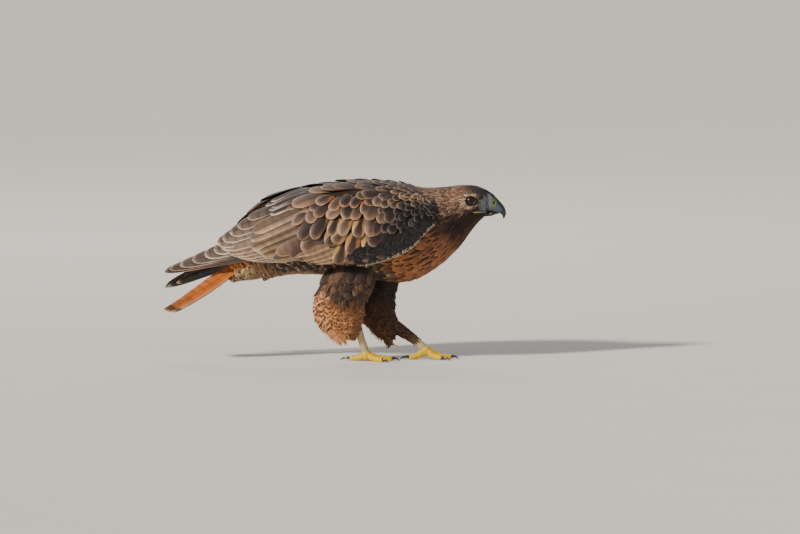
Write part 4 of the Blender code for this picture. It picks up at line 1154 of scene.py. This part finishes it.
def median_coverts(side, coat, rng, solid):
    """Rows of coverts that run along the wing and point down."""

    def pitch(degrees):
        return np.interp(degrees, MEDIAN_AT, MEDIAN_PITCH)

    sites = rings_of(
        WING_ROWS[side], 97, 34, pitch, lambda degrees: 0.94 * pitch(degrees), rng, -66, 78, closed=False
    )
    sites = sites[:, ::-1]
    sites = sites[sites[:, 0] > np.interp(sites[:, 1], (34, 60, 84, 97), (-66, -58, -44, -16))]
    x, degrees = sites.T
    count = len(sites)
    length = pitch(degrees) * 2.1 * (1 + rng.normal(0, 0.09, count))
    flow = np.interp(x, (-70, -20, 40, 80), (42, 64, 74, 66)) + rng.normal(0, 8, count)
    tips = tips_inside(CLOAKS[side].toward(sites, 180 - flow, length), 4)
    looks = covert_looks(x, degrees, length, rng)
    coat.add(
        CLOAKS[side], sites, tips, looks, width=pitch(degrees) * (1.12 + rng.normal(0, 0.08, count)),
        height=1.9 + rng.normal(0, 0.25, count), drop=0.2 * length, roll=rng.normal(0, 0.05, count),
        curl=0.6, sway=rng.normal(0, 0.7, count), camber=0.2, **solid,
    )


def scapulars(side, coat, rng, solid):
    """The scapulars and the lesser coverts ahead of them, which lie flatter along the back."""

    def length_at(x):
        return np.interp(x, SCAPULAR_AT, SCAPULAR_LENGTHS)

    sites = rings_of(
        CLOAKS[side], 138, -66, lambda x: 0.36 * length_at(x), lambda x: 0.42 * length_at(x), rng, 6, 112,
        closed=False
    )
    x, degrees = sites.T
    edge = np.interp(x, (-66, 0, 40, 62, 76), (30, 32, 30, 44, 125))
    kept = (x < 138 - 1.1 * np.maximum(0, 46 - degrees)) & (degrees < lower_edge(x) - 6) & (degrees < edge)
    sites = sites[kept]
    x, degrees = sites.T
    count = len(sites)
    length = length_at(x) * (1 + rng.normal(0, 0.08, count))
    flow = 10 + 22 * smooth(degrees, 14, 34) + 34 * smooth(degrees, 42, 84)
    tips = tips_inside(CLOAKS[side].toward(sites, 180 - flow - rng.normal(0, 8, count), length), 3)
    looks = covert_looks(x, degrees, length, rng)
    width = length * (0.56 + rng.normal(0, 0.03, count))
    off_back = smooth(degrees, 14, 30)
    height = 3.0 * smooth(degrees, 12, 30) * fade(x, 20, 70) + smooth(degrees, 6, 18)
    coat.add(
        CLOAKS[side], sites, tips, looks, width=width, drop=0.2 * length, curl=0.4 * off_back,
        height=height + rng.normal(0, 0.35, count) * off_back, roll=rng.normal(0, 0.08, count) * off_back,
        sway=rng.normal(0, 0.02, count) * length, camber=0.12, **solid,
    )


def margin_line(share, row):
    """Places along the wing's front and lower edge, in mm and degrees, a row deeper each time."""
    x = 137 - 100 * share**1.2 - 3.0 * row
    return np.column_stack([x, lower_edge(x) - 3.5 + 2.5 * share - 4.4 * row])


def margin_coat(side, materials):
    """Small feathers along the wing's edge; the lowest row shows a white outer margin."""
    rng = np.random.default_rng(SEED + 30 + side)
    coat = Coat("margin_" + SIDE_NAMES[side], "wing", materials["covert"])
    count = 32
    share = np.linspace(0, 1, count)
    for row in range(6):
        sites = margin_line(share, row) + rng.normal(0, 0.9, (count, 2))
        tips = margin_line(share + 0.1 + 0.05 * share, row) + (0, 1.5 + 1.1 * row)
        fringe, fringe_width = (SHOULDER_EDGE * 0.5, 0.5) if row else (FRINGE_PALE, 1.6)
        # Their near-black tone is painted shade on the wing's front and lower edge.
        looks = Looks(count, rng, SHOULDER_SHADE, fringe=fringe, fringe_width=fringe_width)
        coat.add(
            CLOAKS[side], sites, tips, looks, width=6 + 4 * share, drop=2.4, camber=0.14, form=COVERT_FORM,
            rows=7, columns=5, thick=0.4, height=1.5 + 0.35 * row + rng.normal(0, 0.25, count),
            roll=rng.normal(0, 0.06, count),
        )
    coat.build()


def tail_feathers(materials):
    """The tail's vanes, each under its inner neighbour and its twin."""
    rng = np.random.default_rng(SEED + 40)
    coat = Coat("tail_feathers", "tail", materials["tail"])
    count = 2 * TAIL_PAIRS
    place = np.arange(count) - TAIL_PAIRS + 0.5

    def at(length):
        aside = place * TAIL_STEP_OUT + np.tan(np.radians(place * TAIL_SPREAD_DEG)) * length
        return np.column_stack([0 * place + length, aside])

    looks = Looks(
        count, rng, TAIL_RUFOUS, under=TAIL_UNDER, fringe=TAIL_TIP, fringe_width=0.4, band=0.9, spacing=13,
        bars=np.where(np.isin(np.abs(place), TAIL_SPOTTED), 0.9, 0.12), root_shade=0.0,
    )
    coat.add(
        TAIL_SURFACE, at(TAIL_FIRST), at(TAIL_LENGTH - TAIL_ROUNDING * place**2), looks, (0, 1),
        width=TAIL_WIDTH, form=TAIL_FORM, rows=24, columns=9, thick=0.6, camber=0.02,
        height=-TAIL_LAYER * (2 * np.abs(place) - 1 + (place < 0)) / 2,
    )
    coat.build()


def tail_coverts(materials):
    """Upper and under tail coverts round the tail's root."""
    rng = np.random.default_rng(SEED + 50)
    coat = Coat("tail_coverts", "tail", materials["soft"])
    sites = rings_of(CONE_SURFACE, 1.5, -0.4, 6.5, 8.0, rng)
    degrees = from_back(sites)
    kept = (degrees > 112) | (sites[:, 0] < 0.15 + 1.2 * smooth(degrees, 46, 66))
    sites = sites[kept]
    below = smooth(degrees[kept], 100, 114)
    count = len(sites)
    length = 17 + 6 * below + rng.normal(0, 2, count)
    tips = CONE_SURFACE.toward(sites, rng.normal(0, 4, count), length)
    tone = over(TAIL_RUFOUS, (UNDERTAIL, below), (UNDERTAIL_BUFF, 0.7 * rng.random(count) * below))
    looks = Looks(count, rng, tone, fringe_width=0.9)
    looks.bars = np.where(rng.random(count) < 0.55, 0.8, 0.15)
    coat.add(
        CONE_SURFACE, sites, tips, looks, width=length * 0.5, form=BODY_FORM, rows=8, columns=5, thick=0.45,
        height=0.3, drop=3.5, roll=rng.normal(0, 0.02, count), camber=0.14,
    )
    coat.build()


# The layers of tufts on the trousers: first and last place and how far round they go, the rings'
# pitch and spacing, then a tuft's width as a share of its length, mean length and its spread,
# how its tip lifts, its form, its columns of points and how downy and pale it is.
TUFT_LAYERS = (
    (0.1, 5.5, (-math.pi, math.pi), 8.6, 9.4, 0.46, 29, 5, 3.0, BODY_FORM, 5, 0.0),
    (1.2, 5.8, (-math.pi, math.pi), 10.0, 9.0, 0.18, 22, 6, 5.0, WISP_FORM, 3, 0.35),
    (4.3, 6.0, (math.pi * 0.5, math.pi * 1.5), 4.0, 4.4, 0.11, 32, 12, 8.0, WISP_FORM, 3, 0.7),
)


def thigh_coat(side, materials):
    """Shaggy trousers: tufts of three narrow vanes, then long loose ones low on the leg."""
    rng = np.random.default_rng(SEED + 60 + side)
    coat = Coat("trousers_" + SIDE_NAMES[side], "thigh", materials["soft"])
    for start, end, round_leg, pitch, spacing, *tuft in TUFT_LAYERS:
        closed = round_leg[0] < 0
        sites = rings_of(THIGHS[side], start, end, pitch, spacing, rng, *round_leg, closed)
        add_tufts(coat, sites, rng, side, *tuft)
    coat.build()


def add_tufts(coat, sites, rng, side, slim, usual, spread, lift, form, columns, downy):
    """Tufts that fan out from the sites."""
    surface, count = THIGHS[side], len(sites)
    points = surface.points(*sites.T)
    rear = (1 - np.cos(sites[:, 1])) / 2
    z = points[:, 2] + 8 * np.sin(sites[:, 1] * 3) - 22 * rear
    # lit is painted light: tufts low on the leg and towards its rear are lit orange with stronger bars.
    # Higher up and at the front they keep the dark brown of painted shade.
    lit = fade(z, 84, 108) * (0.3 + 0.7 * smooth(rear, 0.1, 0.5))
    length = usual - 3 * smooth(sites[:, 0], 3.5, 6) + rng.normal(0, spread / 2, count)
    tone = over(
        TROUSER_DARK * 1.1,
        (TROUSER, lit),
        (TROUSER_PALE * 0.6, 0.24 * rng.random(count) ** 2),
        (TROUSER_PALE, (0.5 + 0.3 * smooth(rear, 0.6, 0.95)) * rng.random(count) ** 1.6 * lit),
        (TROUSER_PALE, downy * (0.3 + 0.7 * lit) * rng.random(count)),
    )
    # The far leg is darkened further: painted shade.
    if side == LEFT:
        tone = over(tone, (TROUSER_DARK, np.full(count, 0.86 - 0.3 * downy)))
    bars = (0.2 + 0.65 * lit) * (1 - 0.7 * fade(points[:, 2], 40, 66)) * (1 - downy)
    for fan in (-1, 0, 1):
        looks = Looks(count, rng, tone, bars=bars, under=tone * 0.8, root_shade=0.35)
        lean = 13 * fan + rng.normal(0, 7, count)
        tips = surface.toward(sites, lean, length * (1 - 0.14 * abs(fan)))
        coat.add(
            surface, sites, tips, looks, width=length * slim, form=form, rows=7, columns=columns, thick=0.5,
            height=0.6 + 0.5 * fan + rng.normal(0, 0.6, count), drop=3.5,
            curl=lift * (0.3 + rng.random(count)), camber=0.2, sway=rng.normal(0, 1.0, count),
        )


def shank_coat(side, materials):
    """Short feathers down the upper part of a shank."""
    rng = np.random.default_rng(SEED + 80 + side)
    surface = SHANKS[side]
    coat = Coat("stocking_" + SIDE_NAMES[side], "thigh", materials["soft"])
    start, end, reach = SHANK_FEATHERS[side]
    sites = rings_of(surface, start, end, 2.6, 2.8, rng)
    sites = sites[sites[:, 0] < end - 0.3 * rng.random(len(sites))]
    count = len(sites)
    # The far shank's feathers keep less orange: painted shade.
    tone = over(TROUSER_DARK, (TROUSER, rng.random(count) * (0.6 if side == RIGHT else 0.12)))
    looks = Looks(count, rng, tone, fringe=TROUSER_PALE * 0.4, fringe_width=0.2, bars=0.4, spacing=6.0)
    length = reach + rng.normal(0, 1.5, count)
    tips = surface.toward(sites, rng.normal(0, 9, count), length)
    coat.add(
        surface, sites, tips, looks, width=length * 0.32, form=POINTED_FORM, rows=6, columns=3, thick=0.4,
        height=0.6 + rng.normal(0, 0.15, count), drop=1.2, curl=0.8 * rng.random(count), camber=0.15,
    )
    coat.build()


def tube_faces(rows, size, looped):
    """Faces of a tube of rows of size points, looped round on itself or closed at its ends."""
    index = np.arange(rows * size).reshape(rows, size)
    beside = np.roll(index, -1, axis=1)
    quads = np.stack([index, beside, np.roll(beside, -1, axis=0), np.roll(index, -1, axis=0)], -1)
    if looped:
        return quads.reshape(-1, 4).tolist()
    return [index[0, ::-1].tolist(), *quads[:-1].reshape(-1, 4).tolist(), index[-1].tolist()]


def solid(name, tubes, material, slot, replaced=(), marks=None, looped=False):
    """A piece made of tubes, each an array of rings of points in millimetres.

    marks are attributes: for each name a list of arrays, one for each tube.
    """
    points, faces = [], []
    for rings in tubes:
        rings = np.asarray(rings, float)
        start = len(points)
        points += packed(rings.reshape(-1, 3)).tolist()
        faces += [[start + k for k in face] for face in tube_faces(*rings.shape[:2], looped)]
    mesh = bpy.data.meshes.new(name)
    mesh.from_pydata(points, [], faces)
    mesh.validate()
    mesh.shade_smooth()
    for key, values in (marks or {}).items():
        add_layer(mesh, key, np.concatenate([np.ravel(value) for value in values]))
    made = place_object(name, mesh)
    outward(made)
    if not looped:
        mesh.set_sharp_from_angle(angle=math.radians(60))
    return finish_piece(made, material, slot, *replaced)


def outward(made):
    """Turns the faces of closed shells outwards."""
    bpy.context.view_layer.objects.active = made
    made.select_set(True)
    bpy.ops.object.mode_set(mode="EDIT")
    bpy.ops.mesh.select_all(action="SELECT")
    bpy.ops.mesh.normals_make_consistent(inside=False)
    bpy.ops.object.mode_set(mode="OBJECT")
    made.select_set(False)


def arm_rings(side):
    """The wing's flesh as flat sections from the wrist back."""
    rings = []
    across = np.linspace(-1, 1, ARM_RINGS[1])
    for along in np.linspace(0, 1, ARM_RINGS[0]):
        x = ARM_FRONT + (ARM_BACK - ARM_FRONT) * along
        upper, lower = cloak_columns(x)[4:6]
        ends = 1 - max(0, 1 - along * 7) * 0.36 - max(0, (along - 0.75) * 4) * 0.2
        middle, half = (upper + lower) / 2, (lower - upper) / 2 * ends * 0.97
        point, _, _, normal = CLOAKS[side].sense(0 * across + x, middle + half * across)
        body = (1 - across**4) * min(1, along * 6 + 0.25) * min(1, (1 - along) * 4 + 0.35)
        sink = 3.6 + 2.6 * max(0.0, along - 0.55) / 0.45
        inner = point - normal * (sink + 2.0 + 13 * body)[:, None]
        rings.append(np.concatenate([point - normal * sink, inner[::-1]]))
    return np.array(rings)


def build_skin():
    """One skin under the whole coat, from closed forms melted together."""
    s, a = grid(np.linspace(0, FACE_AT - 0.02, 90), turns(72))
    cone = tail_cone(TAIL_CORE, *grid(np.linspace(0, 3, 20), turns(48)))
    tubes = [
        trunk(s, a, -np.interp(s, COAT_AT, COAT_DEPTH)),
        cone + (cone.mean(axis=1, keepdims=True) - cone) * 0.22
    ]
    for side in (RIGHT, LEFT):
        tubes += [arm_rings(side), thigh(side, *grid(np.linspace(0, 6, 40), turns(48)), -4.5)]
    nodes = ("torso", "neck", "head", "tail", "wing_right", "wing_left", "thigh_right", "thigh_left")
    skin = solid("skin", tubes, skin_material(), "torso", nodes)
    melt = skin.modifiers.new("melt", "REMESH")
    melt.mode = "VOXEL"
    melt.voxel_size = SKIN_VOXEL * MM
    soften = skin.modifiers.new("soften", "SMOOTH")
    soften.iterations = SKIN_SMOOTHING
    bpy.context.view_layer.update()
    graph = bpy.context.evaluated_depsgraph_get()
    melted = bpy.data.meshes.new_from_object(skin.evaluated_get(graph))
    skin.modifiers.clear()
    skin.data = melted
    melted.shade_smooth()
    colour_skin(melted)


def colour_skin(mesh):
    """Paints the skin with the dark ground of the feathers over it."""
    points = np.empty(len(mesh.vertices) * 3, np.float32)
    mesh.vertices.foreach_get("co", points)
    x, _, z = (points.reshape(-1, 3) / MM - SHIFT).T
    tone = over(
        FLANK,
        (MANTLE * 0.6, smooth(z, 205, 235)),
        (BREAST * 0.7, smooth(x, 92, 120) * fade(z, 200, 222)),
        (BELLY * 0.8, fade(z, 128, 142) * smooth(x, -60, -20) * fade(x, 60, 90) * smooth(z, 118, 124)),
        (UNDERTAIL * 0.8, fade(x, -96, -76) * fade(z, 140, 165)),
        (TAIL_RUFOUS * 0.8, fade(x, -146, -138) * smooth(z - 0.6 * (x + 140), 144, 150)),
        (TROUSER * 0.8, fade(z, 88, 122)),
        (CHEEK * 0.7, smooth(x, 160, 172) * smooth(z, 222, 232)),
        (LORES * 0.8, smooth(x, 199, 203) * hill(z, 235, 16)),
    )
    add_layer(mesh, "tone", np.column_stack([tone, np.ones(len(x))]))


def eye_material():
    s = Shader("eye", 0.55, 0.1, Coat_Weight=0.55, Coat_Roughness=0.08)
    ring = s.number("ring")
    iris = s.mix(s.noise(900), IRIS_BROWN * 0.35, IRIS_BROWN * 1.1)
    iris = s.mix(s.step(ring, 0.5, 0.72), iris, IRIS_BROWN * 0.3)
    # A painted lit crescent in the iris, opposite the highlight, where light comes through the cornea.
    iris = s.mix(s.number("lit_crescent"), iris, IRIS_LIT)
    colour = s.mix(s.step(ring, 0.44, 0.48), PUPIL_BLACK, iris)
    return s.finish(s.mix(s.step(ring, 0.74, 0.82), colour, IRIS_RIM))


def build_eyes():
    """Round eyes with a raised clear front, looking outwards and a little ahead."""
    material = eye_material()
    turn, spin = grid(np.linspace(0.004, math.pi - 0.004, EYE_RINGS[0]), turns(EYE_RINGS[1]))
    radius = EYE_RADIUS - 0.35 + 0.35 * np.exp(-((turn / 0.6) ** 4))
    for side, name in SIDE_NAMES.items():
        gaze = unit(np.array([0.3, side * 0.95, 0.06]))
        across = unit(np.cross(gaze, (0, 0, 1)))
        up = np.cross(across, gaze)
        ring = np.cos(spin)[..., None] * across + np.sin(spin)[..., None] * up
        rings = np.cos(turn)[..., None] * gaze + np.sin(turn)[..., None] * ring
        rings = EYEBALL * (1, side, 1) + rings * radius[..., None]
        # Where the iris gets its painted lit crescent.
        lit_crescent = np.clip(0.94 * side * np.cos(spin) - 0.34 * np.sin(spin), 0, 1) ** 3 * hill(turn, 0.6, 0.13)
        solid(
            "eyeball_" + name, [rings], material, "eye", ["eye_" + name], {"ring": [turn], "lit_crescent": [lit_crescent]}
        )


def lid_material():
    s = Shader("lid", 0.6, 0.35)
    wrinkle = s.noise(1400)
    return s.finish(s.mix(wrinkle, LID_GREY * 0.5, LID_GREY * 1.3), wrinkle, 0.0002, 0.6)


# A lid's cross-section: distance out from its inner edge, and height over the eyeball.
LID_SECTION = np.array([
    (0.5, -0.5), (0.0, 0.1), (0.35, 0.75), (1.1, 1.1), (2.1, 0.75), (3.3, -0.2), (2.6, -1.6), (1.3, -1.5),
])
# Half the length and half the height of the opening between the lids.
LID_OPENING = (8.3, 7.0)


def build_lids():
    """Upper and lower lids as one thick ring round each eye."""
    turn, out = grid(turns(LID_POINTS), LID_SECTION[:, 0])
    hood = 1 - 0.1 * np.maximum(0, np.sin(turn)) ** 2
    ahead, above = np.cos(turn) * (LID_OPENING[0] + out), np.sin(turn) * (LID_OPENING[1] * hood + out)
    reach = np.minimum(np.hypot(ahead, above), EYE_RADIUS - 0.6)
    away = EYEBALL[1] + np.sqrt(EYE_RADIUS**2 - reach**2) + LID_SECTION[:, 1]
    tubes = [
        np.stack([EYEBALL[0] + 0.3 + ahead, side * away, EYEBALL[2] + above], -1) for side in (RIGHT, LEFT)
    ]
    solid("lids", tubes, lid_material(), "head", looped=True)


def bill_rings(table, start, end, count, flat=BILL_FLAT):
    return bill_point(table, *grid(np.linspace(start, end, count), turns(BILL_SIDES)), flat)


def bill_material():
    s = Shader("bill", 0.32, 0.5, Coat_Weight=0.25, Coat_Roughness=0.25)
    grain = s.noise(500)
    dark = s.math("MAXIMUM", s.step(s.number("along"), 0.2, 0.62), s.step(s.number("culmen"), 0.55, 0.85))
    colour = s.mix(dark, BILL_BLUE, BILL_BLACK)
    return s.finish(s.mix(grain * 0.35, colour, BILL_BLACK), grain, 0.0001, 0.4)


def cere_material():
    s = Shader("cere", 0.42, 0.45)
    grain = s.noise(700, 5)
    culmen = s.number("culmen")
    colour = s.mix(s.step(culmen, 0.7, 0.82), CERE_YELLOW, CERE_GREEN)
    colour = s.mix(s.step(culmen, 0.82, 0.92), colour, FOREHEAD)
    colour = s.mix(s.fade(culmen, 0.28, 0.46), colour, BILL_BLUE * 1.15)
    colour = s.mix(grain * 0.5, colour, CERE_GREEN * 0.6)
    colour = s.mix(s.number("rear"), colour, LORES * 0.4)
    # The nostril's hollow is painted near-black: painted shade.
    colour = s.mix(s.fade(s.number("hole"), 0.75, 1.15), colour, BILL_BLACK * 0.5)
    return s.finish(colour, grain, 0.00015)


def build_bill():
    """The cere with its nostrils, and the upper and the lower bill."""
    culmen = (1 + np.cos(turns(BILL_SIDES))) / 2
    count = CERE_RINGS
    rings = bill_rings(BILL, -0.25, CERE_END + 0.03, count)
    swell = 1 + 0.03 * np.sin(np.linspace(0, math.pi, count)) + 0.02 * np.linspace(0, 1, count) ** 6
    middle = rings.mean(axis=1, keepdims=True)
    rings = middle + (rings - middle) * swell[:, None, None]
    hole = np.hypot(rings[..., 0] - NOSTRIL[0], (rings[..., 2] - NOSTRIL[1]) / 1.25) / NOSTRIL_RADIUS
    for depth in (2.2 * fade(hole, 0.5, 1.15), -0.25 * np.exp(-(((hole - 1.35) / 0.3) ** 2))):
        rings[..., 1] -= np.sign(rings[..., 1]) * depth
    marks = {"hole": [hole], "culmen": [np.tile(culmen, count)], "rear": [fade(rings[..., 0], 218, 221.5)]}
    solid("cere_skin", [rings], cere_material(), "cere", ["cere"], marks)
    horn = bill_material()
    count = UPPER_BILL_RINGS
    rings = bill_rings(BILL, CERE_END - 0.05, len(BILL) - 1, count)
    marks = {"along": [np.repeat(np.linspace(0, 1, count), BILL_SIDES)], "culmen": [np.tile(culmen, count)]}
    solid("upper_bill", [rings], horn, "bill", ["bill_upper"], marks)
    count = LOWER_BILL_RINGS
    rings = bill_rings(LOWER_BILL, 0, 2, count, 1.0)
    marks = {
        "along": [np.repeat(np.linspace(0.2, 0.7, count), BILL_SIDES)],
        "culmen": [np.zeros(count * BILL_SIDES)]
    }
    solid("lower_bill", [rings], horn, "bill", ["bill_lower"], marks)


def on_trunk(x, z, side):
    """The place and angle of the trunk's surface that shows at x and z from the side."""
    s, a = grid(np.linspace(9.5, FACE_AT, 160), np.radians(np.linspace(20, 175, 160)))
    found = trunk(s, a)
    best = np.unravel_index(np.argmin((found[..., 0] - x) ** 2 + (found[..., 2] - z) ** 2), s.shape)
    return s[best], side * a[best]


def gape_material():
    s = Shader("gape", 0.5, 0.4)
    grain = s.noise(800)
    lips = s.mix(grain, GAPE_YELLOW * 0.7, GAPE_YELLOW)
    return s.finish(s.mix(s.step(s.number("along"), 0.35, 0.75), lips, LORES * 0.7), grain, 0.0001)


def build_gape():
    """The yellow lips from the bill back to the corner of the mouth."""
    tubes, marks = [], []
    share, angle = grid(np.linspace(0, 1, GAPE_RINGS[0]), turns(GAPE_RINGS[1]))
    for side in (RIGHT, LEFT):
        line = np.array([trunk(*on_trunk(x, z, side), 0.1) for x, z in rows_at(GAPE, 2 * share[:, 0])])
        line[:, 1] = np.convolve(np.pad(line[:, 1], 2, mode="edge"), np.ones(5) / 5, mode="valid")
        for lift, radius in ((0.75, 0.85), (-0.75, 0.7)):
            thick = radius * (0.35 + 0.65 * np.sin(math.pi * np.minimum(1, 0.15 + share)) ** 0.5)
            rise = np.sin(angle) * thick + lift * np.minimum(1, share * 3)
            tubes.append(line[:, None] + np.stack([0 * angle, side * np.cos(angle) * thick, rise], -1))
            marks.append(share)
    solid("gape", tubes, gape_material(), "cere", marks={"along": marks})


def path_rings(path, count, size, swell=None):
    """Round sections along a smooth line through (x, y, z, radius)."""
    path = np.asarray(path, float)
    places, angle = grid(np.linspace(0, len(path) - 1, count), turns(size))
    return limb(path, places, angle, swell(places / (len(path) - 1), angle) if swell else 1.0)


def scale_material(name, colour, worn):
    """Scaly skin of legs: plates with darker creases and a worn, dusty surface."""
    s = Shader(name, 0.5, 0.35)
    inputs = {"Vector": s.place(), "Scale": 620.0}
    crease = s.step(s.node("ShaderNodeTexVoronoi", inputs, feature="DISTANCE_TO_EDGE"), 0.02, 0.14)
    base = s.mix(s.noise(160), colour, colour * worn)
    base = s.mix(s.fade(s.number("plate"), 0.0, 0.2), base, colour * 0.3)
    base = s.mix((1.0 - crease) * 0.45, base, colour * 0.3)
    return s.finish(base, crease, 0.00025)


def scute_wave(count, share, angle, front):
    """Overlapping plates on the side of a limb that faces front: height from 0 to 1."""
    facing = np.clip(np.cos(angle - front), 0, 1) ** 0.6
    return facing * (1 - (share * count) % 1)


def plate_marks(count, rows, size, front):
    """0 at the start of each plate, more after it and away from the front."""
    share, angle = grid(np.linspace(0, 1, rows), turns(size))
    return (share * count) % 1 + (1 - np.clip(np.cos(angle - front), 0, 1))


def above_floor(rings):
    return np.concatenate([rings[..., :2], np.maximum(rings[..., 2:], LEAST_HEIGHT)], -1)


def build_legs():
    shank_skin = scale_material("shank_skin", SHANK_YELLOW, 1.25)
    foot_skin = scale_material("foot_skin", TOE_YELLOW, 0.75)
    for side, name in SIDE_NAMES.items():
        front = 0.0 if side == RIGHT else math.pi / 2
        rings = path_rings(
            SHANK[side], *SHANK_RINGS,
            lambda share, angle: 1 + 0.07 * scute_wave(SHANK_SCUTES, share, angle, front)
        )
        plates = {"plate": [plate_marks(SHANK_SCUTES, *SHANK_RINGS, front)]}
        solid("leg_" + name, [rings], shank_skin, "shank", ["shank_" + name], plates)
        toes = [path_rings(toe_path(side, toe)[0], *TOE_RINGS, toe_swell) for toe in TOES]
        marks = [np.ones(BALL_RINGS)] + [plate_marks(TOE_SCUTES, *TOE_RINGS, math.pi / 2)] * len(TOES)
        tubes = [ball_rings(BALL[side]), *toes]
        solid(
            "toes_" + name, map(above_floor, tubes), foot_skin, "foot", ["foot_" + name], {"plate": marks}
        )


def toe_swell(share, angle):
    """Plates on top of a toe and three pads under it."""
    pads = 0.1 * np.sin(math.pi * share * 3) ** 2 * np.clip(-np.sin(angle), 0, 1)
    closing = np.sqrt(1 - 0.8 * (np.clip(share - 0.9, 0, 0.1) / 0.1) ** 2)
    return closing * (0.98 + pads + 0.075 * scute_wave(TOE_SCUTES, share, angle, math.pi / 2))


def ball_rings(centre):
    turn, angle = grid(np.linspace(0.02, math.pi - 0.02, BALL_RINGS[0]), turns(BALL_RINGS[1]))
    ring = np.stack([np.cos(angle) * np.sin(turn), np.sin(angle) * np.sin(turn), np.cos(turn)], -1)
    return np.array(centre) + ring * BALL_RADIUS


def toe_path(side, toe):
    """The toe's line from the ball of the foot to the root of its claw, and its heading."""
    heading, length, root_radius, tip_radius, _ = toe
    x, y, z = BALL[side]
    turn = math.radians(heading) * side
    way = np.array([math.cos(turn), math.sin(turn), 0])
    start = np.array([x, y, z - 1])
    near, middle, end = (start + way * length * share for share in (0.22, 0.5, 1.0))
    mean = (root_radius + tip_radius) / 2
    near[2] = z * 0.8
    middle[2] = mean - TOE_SINK + (z - 9) * 0.25 + 0.6
    end[2] = tip_radius - TOE_SINK
    return [(*start, root_radius), (*near, root_radius), (*middle, mean), (*end, tip_radius)], way


def claw_line(side, toe):
    """A claw's curve from the toe's end until its point meets the floor."""
    path, way = toe_path(side, toe)
    tip_radius, length = toe[3:5]
    here = np.array(path[-1][:3]) - way * CLAW_SINK
    here[2] = max(tip_radius - TOE_SINK, CLAW_RADIUS + 0.6)
    heading, turn = math.radians(CLAW_RISE_DEG), math.radians(CLAW_RISE_DEG + CLAW_CURL_DEG)
    line = []
    for i in range(CLAW_STEPS + 1):
        line.append([*here, CLAW_RADIUS * (1 - CLAW_TAPER * (i / CLAW_STEPS) ** 1.3)])
        here = here + (way * math.cos(heading) + np.array([0, 0, math.sin(heading)])) * length / CLAW_STEPS
        heading -= turn / CLAW_STEPS
    low = path_rings(line, 6, 6)[-1, :, 2].min() - CLAW_CLEAR
    for i, place in enumerate(line):
        place[2] -= low * (i / CLAW_STEPS) ** 2
    return line


def build_claws():
    s = Shader("claw", 0.22, 0.5, Coat_Weight=0.3, Coat_Roughness=0.2)
    grain = s.noise(300, 3)
    material = s.finish(s.mix(grain, CLAW_BLACK, CLAW_BLACK * 3), grain, 0.0001, 0.3)
    for side, name in SIDE_NAMES.items():
        tubes = [above_floor(path_rings(claw_line(side, toe), *CLAW_RINGS)) for toe in TOES]
        solid(
            "talons_" + name, tubes, material, "claw",
            ["claw_%s_%d" % (name, i + 1) for i in range(len(TOES))]
        )


# Half the floor's side, in metres.
FLOOR_HALF = 60.0
# The camera's target in millimetres, its distance and reach in metres, and its lens.
CAMERA_TARGET = (82.5, 0.0, 141.0)
CAMERA_DISTANCE, CAMERA_UP_DEG, CAMERA_LENS, CAMERA_REACH = 14.0, 5.0, 420.0, 200
# The lights: kind, place in metres, strength and settings.
LIGHTS = {
    "key": ("SUN", (-2.7, -2.3, 2.35), 5.0, {"angle": math.radians(6), "color": (1.0, 0.92, 0.83)}),
    "fill": ("AREA", (2.2, -2.4, 1.6), 12, {"size": 2.0}),
    "rim": ("AREA", (-0.6, 2.6, 2.4), 26, {"size": 1.6}),
}
SKY_COLOUR, SKY_STRENGTH = (0.86, 0.87, 0.9, 1), 0.36


def build_floor():
    mesh = bpy.data.meshes.new("floor")
    corners = [(x * FLOOR_HALF, y * FLOOR_HALF, 0) for x, y in ((-1, -1), (1, -1), (1, 1), (-1, 1))]
    mesh.from_pydata(corners, [], [(0, 1, 2, 3)])
    floor = place_object("floor", mesh)
    s = Shader("floor", 0.85, 0.2)
    mesh.materials.append(s.finish(s.mix(s.noise(6, 3), FLOOR_PALE * 0.96, FLOOR_PALE)))


def aim(made, place, target):
    made.location = place
    made.rotation_euler = (Vector(target) - Vector(place)).to_track_quat("-Z", "Y").to_euler()


def build_studio():
    """A pale floor, soft light from the left and above, and the photograph's camera."""
    build_floor()
    target = Vector(packed(CAMERA_TARGET))
    for name, (kind, place, energy, settings) in LIGHTS.items():
        lamp = bpy.data.lights.new(name, kind)
        lamp.energy = energy
        for key, value in settings.items():
            setattr(lamp, key, value)
        aim(place_object(name, lamp), place, target)
    world = bpy.data.worlds.new("studio")
    world.use_nodes = True
    world.node_tree.nodes["Background"].inputs["Color"].default_value = SKY_COLOUR
    world.node_tree.nodes["Background"].inputs["Strength"].default_value = SKY_STRENGTH
    bpy.context.scene.world = world
    lens = bpy.data.cameras.new("camera")
    lens.lens = CAMERA_LENS
    lens.clip_end = CAMERA_REACH
    camera = place_object("camera", lens)
    up = math.radians(CAMERA_UP_DEG)
    aim(camera, target + Vector((0, -math.cos(up), math.sin(up))) * CAMERA_DISTANCE, target)
    bpy.context.scene.camera = camera


def main():
    materials = {
        "soft": feather_material("soft_feather", 0.8),
        "covert": feather_material("covert_feather", 0.5),
        "flight": feather_material("flight_feather", 0.55, 0.7),
        "tail": feather_material("tail_feather", 0.55, 0.5, spots=True),
    }
    build_skin()
    trunk_coats(materials)
    for side in (RIGHT, LEFT):
        for coat in (flight_feathers, covert_coat, margin_coat, thigh_coat, shank_coat):
            coat(side, materials)
    tail_feathers(materials)
    tail_coverts(materials)
    build_eyes()
    build_lids()
    build_bill()
    build_gape()
    lore_coat(materials)
    build_legs()
    build_claws()
    build_studio()


main()
